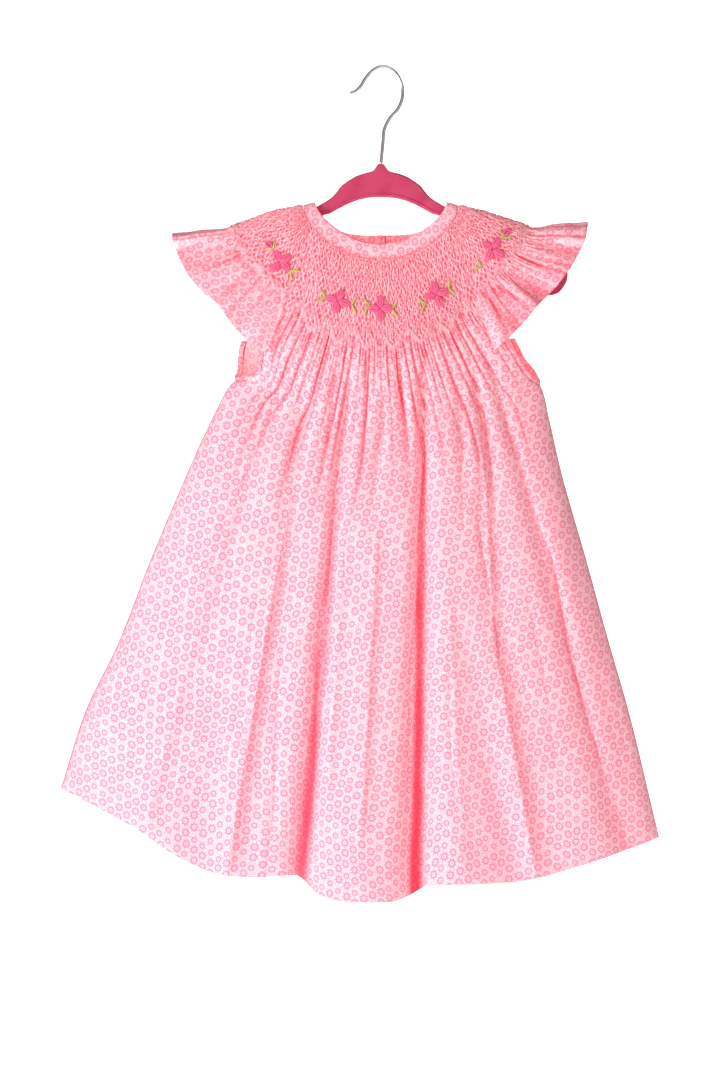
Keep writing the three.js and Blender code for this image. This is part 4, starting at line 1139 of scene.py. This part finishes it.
def armhole_band(name, front_rows, back_rows, side):
    """Narrow rolled band: down the front edge, under the arm and up the back edge."""
    steps, across = 90, 11
    ends, ways, outs = [], [], []
    places = [0.2, 0.2125, 0.225, 0.236, 0.247]
    for table, face, order in ((front_rows, -1, places), (back_rows, 1, places[::-1])):
        for v in order:
            low = smooth(0.215, 0.262, v)
            ends.append([float(along(table, v, key)) for key in (X, Y, Z)])
            ways.append(unit([side, 0, mix(0.1, 1.1, low)]))
            outs.append(unit([side * mix(0.4, 0.9, low), face * mix(1, 0.4, low), 0.1]))
        if face < 0:
            under = next(r for r in front_rows if r[0] > 0.247)
            ends.append([under[1] - side * 0.5, 0, under[2]])
            ways.append(unit([side * 0.15, 0, 1]))
            outs.append(unit([side, 0, 0]))
    at = np.linspace(0, 1, len(ends))
    fine = np.linspace(0, 1, steps)
    rows = [(a, *e, *w, *o) for a, e, w, o in zip(at, ends, ways, outs)]
    values = np.stack([along(rows, fine, k) for k in range(1, 10)], -1)
    start, way, out = values[:, :3], unit(values[:, 3:6]), unit(values[:, 6:9])
    start = start + way * SEAM_GAP
    turn = np.linspace(0, 1, across)
    roll = 0.35 * np.sin(math.pi * turn)
    ripple_up = 0.12 * np.sin(fine * 70)
    line = start[None] + way[None] * (BAND_WIDE * turn)[:, None, None]
    raised = roll[:, None] + ripple_up[None] * np.sin(math.pi * turn)[:, None]
    outer = line + out[None] * raised[..., None]
    inner = line - out[None] * (1.5 - 0.4 * turn)[:, None, None]
    step = distance_along(start)
    uv = np.stack([np.broadcast_to(step + 50, line.shape[:2]),
                   np.broadcast_to((BAND_WIDE * turn)[:, None], line.shape[:2])], -1)
    # Painted shade at the band's foot where it turns under; the whole band also takes a fixed share of
    # the shade colour
    foot = np.broadcast_to((1 - smooth(0, 0.3, turn))[:, None] * 0.9, line.shape[:2])
    return shell(name, outer, inner, evenly(across, 2), evenly(steps, 3), uv,
                 shade_and_yoke(np.maximum(foot, 0.3), 0.0), binding_slots)


band_left = armhole_band("armhole_binding_left_cloth", FRONT_LEFT, BACK_LEFT, -1)
band_right = armhole_band("armhole_binding_right_cloth", FRONT_RIGHT, BACK_RIGHT, 1)

# Thread work


class Strands:
    """Many round strands gathered into one mesh."""

    def __init__(self):
        self.points, self.faces, self.uv, self.flank_shade = [], [], [], []
        self.count = 0

    def add(self, path, radius, sides=8, coils=0.0, coil_depth=0.0, out=(0.0, -1.0, 0.12)):
        path = np.asarray(path, float)
        total = len(path)
        radius = np.broadcast_to(radius, (total,))
        tangent = unit(np.gradient(path, axis=0))
        guide = unit(out)
        first = unit(np.cross(tangent, guide))
        second = np.cross(tangent, first)
        around = np.linspace(0, 2 * math.pi, sides, endpoint=False)
        at = np.linspace(0, 1, total)
        wrap = 1 + coil_depth * np.sin(2 * math.pi * coils * at[:, None] + around[None, :])
        spoke = (np.cos(around)[None, :, None] * first[:, None]
                 + np.sin(around)[None, :, None] * second[:, None])
        ring = path[:, None] + spoke * (radius[:, None] * wrap)[..., None]
        walked = distance_along(path)
        uv = np.stack([np.broadcast_to(walked[:, None], wrap.shape),
                       np.broadcast_to(around[None, :] * 0.6, wrap.shape)], -1)
        base = self.count
        # Painted shade: the strand's sides and underside, turned away from the way out, take the
        # thread's shade colour
        self.flank_shade.append(1 - smooth(-0.1, 0.7, np.sum(unit(spoke) * guide, -1)).reshape(-1))
        self.points.append(ring.reshape(-1, 3))
        self.uv.append(uv.reshape(-1, 2))
        self.faces += ring_faces(total, sides, base)
        self.faces.append(tuple(base + i for i in range(sides))[::-1])
        self.faces.append(tuple(base + (total - 1) * sides + i for i in range(sides)))
        self.count += total * sides

    def piece(self, name, material):
        mesh = mesh_of(name, (np.concatenate(self.points) * MM).tolist(), self.faces)
        paint(mesh, np.concatenate(self.uv) * MM, shade_and_yoke(np.concatenate(self.flank_shade), 0.0))
        mend(mesh)
        return place(name, mesh, [material])


def tree_of(*grids):
    """A search tree over the plain surfaces, without their pleats."""
    points, faces = [], []
    for grid in grids:
        coarse = grid[::3, ::3]
        tall, wide = coarse.shape[:2]
        base = len(points)
        points += coarse.reshape(-1, 3).tolist()
        for j in range(tall - 1):
            for i in range(wide - 1):
                a = base + j * wide + i
                faces.append((a, a + 1, a + wide + 1, a + wide))
    return BVHTree.FromPolygons(points, faces)


surface = tree_of(front_base, left_base, right_base)


def on_front(px, py):
    """Point and way out of the front's surface behind a place of the photograph."""
    x, z = (px - ORIGIN_PX) * PIXEL, (ORIGIN_PY - py) * PIXEL
    hit, n, _, _ = surface.ray_cast(Vector((x, -200, z)), Vector((0, 1, 0)))
    point = np.array(hit if hit is not None else (x, -25, z))
    out = np.array(n if n is not None else (0, -1, 0))
    return point, out if out[1] < 0 else -out


def bullion(strands, px0, py0, px1, py1, bow=0.0, height=0.6, thick=1.0, rise=0.9):
    """One wrapped stitch from one place to another, bowed sideways by so many mm."""
    a, n_a = on_front(px0, py0)
    b, n_b = on_front(px1, py1)
    out = unit(n_a + n_b)
    t = np.linspace(0, 1, 40)
    way = unit(b - a)
    sideways = np.cross(way, out)
    hump = np.sin(math.pi * t)
    path = (mix(a, b, t[:, None]) + sideways * (bow * hump)[:, None]
            + out * (1.0 + height + rise * hump ** 0.7)[:, None])
    ends = np.clip(np.minimum(t, 1 - t) / 0.12, 0, 1)
    radius = thick * (0.35 + 0.65 * np.sqrt(1 - (1 - ends) ** 2))
    strands.add(path, radius, sides=9, coils=np.linalg.norm(b - a) / 0.85, coil_depth=0.09)


flowers = Strands()
leaves = Strands()
PETAL = 13.1          # pixels from a flower's middle to a petal's tip


def flower(px, py, turns):
    """Four petals of three bullion stitches each; turns are their angles, 0 to the right."""
    for k, degrees in enumerate(turns):
        way = math.radians(degrees)
        cx, cy = math.cos(way), -math.sin(way)
        reach = PETAL * (0.96 + 0.05 * math.sin(2.1 * k + px))
        x0, y0 = px + 1.3 * cx, py + 1.3 * cy
        x1, y1 = px + reach * cx, py + reach * cy
        for bow in (2.15, -2.15):
            bullion(flowers, x0, y0, x1, y1, bow=bow, height=0.1, thick=1.14)
        x1, y1 = px + (reach - 1) * cx, py + (reach - 1) * cy
        bullion(flowers, x0, y0, x1, y1, bow=0.2, height=0.4, thick=1.12)


def leaf(tip0, knee, tip1):
    """A V of two stitches."""
    for start, end in ((tip0, knee), (knee, tip1)):
        bullion(leaves, *start, *end, bow=0.25, height=0.2, thick=0.92, rise=0.5)


def bud(px, py, degrees):
    way = math.radians(degrees)
    cx, cy = math.cos(way) * 4.6, -math.sin(way) * 4.6
    for bow in (1.5, -1.5):
        bullion(flowers, px - cx, py - cy, px + cx, py + cy, bow=bow, height=0.3, thick=1.1)


# Places in the photograph, in pixels: middle of each flower and the angles of its petals
FLOWERS = [
    (280.3, 262.0, (118, 32, 224, 316)),
    (338.5, 301.5, (72, 165, 248, 340)),
    (380.2, 309.0, (90, 180, 270, 0)),
    (435.9, 294.9, (104, 196, 290, 20)),
    (493.0, 249.0, (62, 148, 240, 322)),
]
# Middle and angle of each bud
BUDS = [(268.8, 245.0, 135), (506.4, 232.5, 48)]
# Tip, knee and tip of each pair of leaf stitches
LEAVES = [
    ((274.9, 241.5), (273.3, 249.0), (265.5, 248.6)),
    ((299.9, 271.3), (290.1, 270.8), (291.7, 279.6)),
    ((321.6, 289.5), (325.5, 297.6), (317.3, 302.4)),
    ((357.5, 297.8), (351.9, 304.7), (356.3, 314.0)),
    ((363.8, 298.9), (369.3, 305.3), (364.3, 315.2)),
    ((397.6, 303.4), (391.8, 309.3), (397.6, 317.2)),
    ((418.5, 299.0), (425.4, 303.9), (420.8, 313.4)),
    ((449.5, 279.6), (448.3, 288.6), (455.2, 294.8)),
    ((500.4, 229.4), (503.2, 238.0), (512.4, 236.8)),
    ((477.6, 259.0), (481.0, 266.0), (474.6, 270.4)),
]
for px, py, turns in FLOWERS:
    flower(px, py, turns)
for px, py, degrees in BUDS:
    bud(px, py, degrees)
for tip0, knee, tip1 in LEAVES:
    leaf(tip0, knee, tip1)
embroidery = flowers.piece("bullion_flowers", pink_thread)
foliage = leaves.piece("bullion_leaves", leaf_thread)


def surface_line(panel, u, v, lift):
    """Points on a panel, so many mm off its surface."""
    point = panel_points(panel, u, v)
    right, left = np.clip(u + 0.01, 0, 1), np.clip(u - 0.01, 0, 1)
    below, above = np.maximum(v + 0.01, 0.001), np.maximum(v - 0.01, 0.001)
    du = panel_points(panel, right, v) - panel_points(panel, left, v)
    dv = panel_points(panel, u, below) - panel_points(panel, u, above)
    out = unit(np.cross(du, dv))
    out = np.where((out[..., 1:2] * panel["face"]) < 0, -out, out)
    return point + out * np.asarray(lift)[..., None]


trellis = Strands()
for panel, low, high in ((FRONT, 0.03, 0.97), (BACK, 0.03, 0.488), (BACK, 0.512, 0.97)):
    for shift in (0.05, 0.55):
        for part in (-0.0017, 0.0017):
            u = np.linspace(low, high, int(620 * (high - low)))
            wave = zigzag(u * TRELLIS_POINTS + shift)
            v = YOKE_END - 0.009 + part + 0.026 * (smooth(0, 1, wave) - 0.5)
            bounce = 1.92 + 0.1 * np.sin(u * PLEATS_FRONT * 2 * math.pi)
            trellis.add(surface_line(panel, u, v, bounce), 0.2, sides=6, out=(0, panel["face"], 0.12))


def sleeve_line(sleeve, s, t, lift):
    """Points on a sleeve, so many mm off its surface."""
    point = sleeve_points(sleeve, s, t)
    ds = sleeve_points(sleeve, s + 0.01, t) - sleeve_points(sleeve, s - 0.01, t)
    ahead, behind = np.clip(t + 0.01, -1, 1), np.clip(t - 0.01, -1, 1)
    dt = sleeve_points(sleeve, s, ahead) - sleeve_points(sleeve, s, behind)
    out = unit(np.cross(ds, dt))
    rough = np.stack([np.zeros(t.shape), t, 1 - np.abs(t) * 0.9], -1)
    out = np.where(np.sum(out * rough, -1, keepdims=True) < 0, -out, out)
    return point + out * np.asarray(lift)[..., None]


for sleeve in (LEFT_SLEEVE, RIGHT_SLEEVE):
    for shift in (0.0, 0.5):
        for part in (-0.006, 0.006):
            t = np.linspace(-0.96, 0.96, 420)
            wave = zigzag(t * 3.5 + shift)
            s = SLEEVE_SMOCKED - 0.03 + part + 0.05 * (wave - 0.5)
            bounce = 1.75 + 0.1 * np.sin(t * SLEEVE_PLEATS * math.pi)
            trellis.add(sleeve_line(sleeve, s, t, bounce), 0.22, sides=6)
trellis_piece = trellis.piece("trellis_threads", pale_thread)

# Small stitches: over pairs of pleats in the smocking, along the hem and along the neck seam
stitches = Strands()
for k in range(1, PLEATS_FRONT):
    for row in range(2, ROWS_OF_STITCH - 1):
        if (k + row) % 2 == 0 or (k * 7 + row * 5) % 3 == 0:
            continue
        u = (k + np.array([-0.3, 0.0, 0.3])) / PLEATS_FRONT
        v = np.full(3, row / ROWS_OF_STITCH * YOKE_END)
        if v[0] > yoke_edge(u[1]) - 0.006:
            continue
        stitches.add(surface_line(FRONT, u, v, [1.25, 1.72, 1.25]), 0.16, sides=4)


HEM_STITCHED = 0.957
HEM_STITCH_EVERY = 0.0075


def hem_stitches(panel, low, high, every=HEM_STITCH_EVERY):
    for u0 in np.arange(low, high, every):
        u = u0 + np.array([0.0, 0.5, 1.0]) * every * 0.45
        v = np.full(3, HEM_STITCHED)
        point = panel_points(panel, u, v)
        lift = slack(point[:, 0], point[:, 2]) + np.array([0.1, 0.32, 0.1]) + 0.2
        stitches.add(surface_line(panel, u, v, lift), 0.16, sides=4)


for panel, low, high in ((FRONT, 0.01, 0.985), (BACK, 0.01, 0.49), (BACK, 0.505, 0.985)):
    hem_stitches(panel, low, high)
for k in range(6, 414, 3):
    mark = neck_line[2, k:k + 3] + neck_out[k:k + 3] * np.array([0.2, 0.55, 0.2])[:, None]
    stitches.add(mark, 0.15, sides=4)
stitching = stitches.piece("fine_stitches", seam_thread)

# Hanger: half outlines from the middle outward

HANGER_TOP = [
    (2.2, -77.2), (4.4, -80.2), (7, -82.8), (15, -85), (21, -87.3), (27, -91), (32, -94.8),
    (36, -100), (39.5, -103.8), (45, -107.6), (53, -112), (62, -116), (80, -122), (111, -136),
    (136, -150), (147, -157),
]
HANGER_END = [(150, -164), (149, -172), (143, -180.4), (135, -182.8)]
HANGER_FOOT = [
    (128.8, -180.5), (100, -158), (70, -134), (48.7, -119.6), (41, -116.9), (34.4, -113.3),
    (26, -109), (17.5, -105.9), (9, -104.2), (0, -103.7),
]


def catmull(points, each, closed, alpha=0.5):
    """A smooth line through the points, with so many steps to each span."""
    points = np.asarray(points, float)
    if closed:
        ring = np.concatenate([points[-1:], points, points[:2]])
    else:
        before, after = 2 * points[:1] - points[1:2], 2 * points[-1:] - points[-2:-1]
        ring = np.concatenate([before, points, after])
    line = []
    t = np.linspace(0, 1, each, endpoint=False)[:, None]
    for a, b, c, d in zip(ring[:-3], ring[1:-2], ring[2:-1], ring[3:]):
        m0, m1 = (c - a) * alpha, (d - b) * alpha
        line.append(b * (2 * t ** 3 - 3 * t ** 2 + 1) + c * (3 * t ** 2 - 2 * t ** 3)
                    + m0 * (t ** 3 - 2 * t ** 2 + t) + m1 * (t ** 3 - t ** 2))
    if not closed:
        line.append(points[-1:])
    return np.concatenate(line)


def hanger_piece():
    half = HANGER_TOP + HANGER_END + HANGER_FOOT
    outline = half + [(-x, z) for x, z in half[::-1]][1:]
    line = catmull(outline, 8, True, 0.4)
    ahead = np.roll(line, -1, 0) - np.roll(line, 1, 0)
    inward = unit(np.stack([ahead[:, 1], -ahead[:, 0]], -1))
    if np.sum((line.mean(0) - line) * inward) < 0:
        inward = -inward
    # The boss and the tips are narrow, so the rings lie closer together there
    slim = 0.82 * np.where(line[:, 1] > -97, mix(0.35, 1.0, smooth(2, 16, np.abs(line[:, 0]))), 1.0)
    slim = (slim * mix(1.0, 0.5, smooth(172, 177, -line[:, 1])))[:, None]
    # How much of a lower edge this is, where the moulded rim shows
    lower = smooth(0.2, 0.6, inward[:, 1])
    profile = [
        (0.0, 0.0, 0.0), (0.12, 1.3, 0.0), (0.5, 2.4, 0.0), (1.0, 3.1, 0.0), (1.6, 3.5, 0.0),
        (2.1, 3.62, 0.0), (2.4, 3.62, 0.28), (2.7, 3.6, 0.36), (3.0, 3.55, 0.2), (3.3, 3.5, -0.25),
        (3.8, 3.5, -0.3), (4.4, 3.55, -0.12),
    ]
    layers = []
    for face in (-1, 1):
        order = profile if face < 0 else profile[1:]
        for inset, high, bead in order:
            flat = line + inward * inset * slim
            y = face * (high + bead * lower)
            ring = np.stack([flat[:, 0], y, flat[:, 1]], -1)
            layers.insert(0 if face < 0 else len(layers), ring)
    points = np.concatenate(layers)
    size = len(line)
    faces = ring_faces(len(layers), size)
    faces.append(tuple(range(size)))
    last = (len(layers) - 1) * size
    faces.append(tuple(last + i for i in range(size))[::-1])
    mesh = mesh_of("hanger_flocked", (points * MM).tolist(), faces)
    mend(mesh, split_caps=True)
    return place("hanger_flocked", mesh, [flock()])


hanger = hanger_piece()

HOOK_LINE = [
    (0, -76.6), (1.6, -60), (2.6, -49.6), (7, -40.5), (13.4, -33), (17, -24.5), (17.2, -15),
    (13.2, -5.4), (7, 0.2), (0, 1.3), (-7, -2.2), (-12.4, -8.2), (-16.4, -14.6), (-20.4, -18.6),
    (-25.2, -20.4),
]
hook_strands = Strands()
flat_line = catmull(HOOK_LINE, 16, False)
hook_path = np.stack([flat_line[:, 0], np.zeros(len(flat_line)), flat_line[:, 1]], -1)
tip = np.minimum(1, (np.linspace(1, 0, len(hook_path)) * 90 + 0.25))
hook_strands.add(hook_path, 1.3 * tip ** 0.5, sides=28)
hook = hook_strands.piece("hook_wire", chrome())


BUTTON_SIDES = 64


def button_piece():
    """A round button in the place of its solid, dished, with crossed threads over its middle."""
    low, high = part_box("button")
    centre = np.array((low + high) / 2) / MM
    foot = neck_point(NECK_SEAM, math.pi)
    rim = neck_point(NECK_RIM, math.pi)
    slope = math.atan2(foot[1] - rim[1], rim[2] - foot[2])
    out = np.array([0.0, math.cos(slope), math.sin(slope)])
    up = np.array([0.0, -math.sin(slope), math.cos(slope)])
    sideways = np.array([1.0, 0.0, 0.0])
    rows = [
        (0.0, -1.05), (3.0, -1.05), (3.7, -0.85), (4.1, -0.35), (4.2, 0.1), (4.05, 0.6), (3.7, 0.95),
        (3.3, 1.1), (2.9, 1.05), (2.5, 0.75), (2.1, 0.55), (1.9, 0.5), (0.0, 0.5),
    ]
    around = np.linspace(0, 2 * math.pi, BUTTON_SIDES, endpoint=False)
    points = []
    for r, y in rows:
        for a in around:
            points.append(centre + sideways * r * math.cos(a) + up * r * math.sin(a) + out * y)
    faces = ring_faces(len(rows), BUTTON_SIDES)
    mesh = mesh_of("button_pearl", [(p * MM).tolist() for p in points], faces)
    mend(mesh, join=True)
    button = place("button_pearl", mesh, [pearl()])
    sewing = Strands()
    for x0, z0, x1, z1 in ((-0.75, -0.75, 0.75, 0.75), (-0.75, 0.75, 0.75, -0.75)):
        t = np.linspace(0, 1, 12)
        rise = 0.62 + 0.3 * np.sin(math.pi * t)
        path = (centre + np.outer(mix(x0, x1, t), sideways) + np.outer(mix(z0, z1, t), up)
                + np.outer(rise, out))
        for part in (-0.16, 0.16):
            sewing.add(path + up * part, 0.16, sides=6)
    return button, sewing.piece("button_thread", pale_thread)


button, button_thread = button_piece()

# What rides on what, and what stands for which solid
swaps = [
    (front, "front", "printed_cotton"),
    (back_left, "back_left", "printed_cotton"),
    (back_right, "back_right", "printed_cotton"),
    (sleeve_left, "sleeve_left", "printed_cotton"),
    (sleeve_right, "sleeve_right", "printed_cotton"),
    (neck, "neck_binding", "printed_cotton"),
    (band_left, "armhole_binding_left", "printed_cotton"),
    (band_right, "armhole_binding_right", "printed_cotton"),
    (hanger, "hanger", "flocked_hanger"),
    (hook, "hook", "chrome_wire"),
    (button, "button", "pearl_button"),
]
for piece, node, slot in swaps:
    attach(piece, "root")
    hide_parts(node)
for piece in (embroidery, foliage, trellis_piece, stitching, button_thread):
    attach(piece, "root")

# Setting: a plain pale floor that runs up behind, soft light, and the camera


PAPER_LEVEL = -0.84
PAPER_BENDS = 5.2
PAPER_CURVE = 0.8
PAPER_TOP = 4.4
PAPER_HALF = 7.0


def sweep():
    """A sheet of pale paper: a floor, a curve, and a wall behind."""
    n = Nodes("pale_paper")
    coordinate = n.add("TexCoord").outputs["Object"]
    grain = n.noise(coordinate, 300.0)
    bump = n.bump(grain.outputs[0], 0.03, 0.001)
    paper = n.finish(Base_Color=rgb(252, 252, 252), Roughness=0.9, Normal=bump,
                     Emission_Color=(1.0, 1.0, 1.0, 1.0), Emission_Strength=0.66)
    profile = [(-PAPER_HALF, PAPER_LEVEL), (PAPER_BENDS, PAPER_LEVEL)]
    profile += [(PAPER_BENDS + PAPER_CURVE * math.sin(a),
                 PAPER_LEVEL + PAPER_CURVE * (1 - math.cos(a)))
                for a in np.linspace(0, math.pi / 2, 24)[1:]]
    profile += [(PAPER_BENDS + PAPER_CURVE, PAPER_TOP)]
    points, faces = [], []
    for y, z in profile:
        points += [(-PAPER_HALF, y, z), (PAPER_HALF, y, z)]
    for k in range(len(profile) - 1):
        faces.append((2 * k, 2 * k + 1, 2 * k + 3, 2 * k + 2))
    return place("paper_floor", mesh_of("paper_floor", points, faces), [paper])


sweep()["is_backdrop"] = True

world = bpy.data.worlds.new("studio")
bpy.context.scene.world = world
world.use_nodes = True
sky = world.node_tree.nodes
links = world.node_tree.links
where = sky.new("ShaderNodeTexCoord")
apart = sky.new("ShaderNodeSeparateXYZ")
tint = sky.new("ShaderNodeMapRange")
tint.inputs["From Min"].default_value = -0.6
tint.inputs["From Max"].default_value = 0.7
colors = sky.new("ShaderNodeMix")
colors.data_type = "RGBA"
colors.inputs[6].default_value = (0.98, 0.96, 1.0, 1.0)
colors.inputs[7].default_value = (1.0, 0.7, 0.66, 1.0)
links.new(where.outputs["Generated"], apart.inputs[0])
links.new(apart.outputs[0], tint.inputs[0])
links.new(tint.outputs[0], colors.inputs[0])
links.new(colors.outputs[2], sky["Background"].inputs["Color"])
sky["Background"].inputs["Strength"].default_value = 0.37


def soft_light(name, at, size, power, color, target=(0.0, 0.0, -0.38)):
    data = bpy.data.lights.new(name, "AREA")
    data.shape = "RECTANGLE"
    data.size, data.size_y = size
    data.energy = power
    data.color = color
    lamp = bpy.data.objects.new(name, data)
    lamp.location = at
    lamp.rotation_euler = (Vector(target) - Vector(at)).to_track_quat("-Z", "Y").to_euler()
    bpy.context.scene.collection.objects.link(lamp)


soft_light("key", (-1.6, -1.3, -0.75), (0.6, 1.0), 54.0, (0.97, 0.95, 0.98), (-0.08, 0.0, -0.5))
soft_light("fill", (1.7, -1.8, 0.3), (1.2, 1.4), 6.0, (1.0, 0.76, 0.7))
soft_light("low", (-0.06, -0.5, -0.8), (0.9, 0.08), 0.52, (0.74, 0.86, 1.0), (-0.04, 0.0, -0.62))
soft_light("top", (0.3, -1.0, 1.4), (1.4, 1.0), 9.0, (1.0, 0.9, 0.86))


def dark_card(name, corners):
    """A dark card beside the picture, hidden from the camera, which the chrome reflects."""
    n = Nodes(name + "_paper")
    coordinate = n.add("TexCoord").outputs["Object"]
    grain = n.noise(coordinate, 200.0)
    color = n.blend(grain.outputs[0], (0.03, 0.03, 0.034, 1), (0.05, 0.05, 0.055, 1))
    paper = n.finish(Base_Color=color, Roughness=0.9)
    card = place(name, mesh_of(name, corners, [(0, 1, 2, 3)]), [paper])
    card.visible_camera = False
    return card


def upright(x, near):
    """Corners of a card that stands at x and reaches from near to behind the dress."""
    return [(x, near, -0.5), (x, 1.1, -0.5), (x, 1.1, 0.6), (x, near, 0.6)]


level = [(-0.6, 0.06, 0.6), (0.6, 0.06, 0.6), (0.6, 1.1, 0.6), (-0.6, 1.1, 0.6)]
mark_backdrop(dark_card("dark_card_left", upright(-0.62, 0.06)),
         dark_card("dark_card_right", upright(0.58, -0.3)),
         dark_card("dark_card_above", level))

camera_data = bpy.data.cameras.new("camera")
camera = bpy.data.objects.new("camera", camera_data)
bpy.context.scene.collection.objects.link(camera)
DISTANCE = 5.0
NEARER = 0.022        # how far in front of the hanger the picture's scale holds
CENTRE = Vector(((PHOTO_WIDE / 2 - ORIGIN_PX) * PIXEL * MM, 0.0,
                 (ORIGIN_PY - PHOTO_HIGH / 2) * PIXEL * MM))
camera.location = CENTRE + Vector((0, -DISTANCE, 0))
camera.rotation_euler = (math.pi / 2, 0, 0)
camera_data.sensor_fit = "VERTICAL"
camera_data.sensor_height = 36.0
camera_data.lens = 36.0 * (DISTANCE - NEARER) / (PHOTO_HIGH * PIXEL * MM)
camera_data.clip_end = 50.0
bpy.context.scene.camera = camera
bpy.context.scene.view_settings.view_transform = "Standard"
bpy.context.scene.view_settings.look = "None"

low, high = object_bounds()
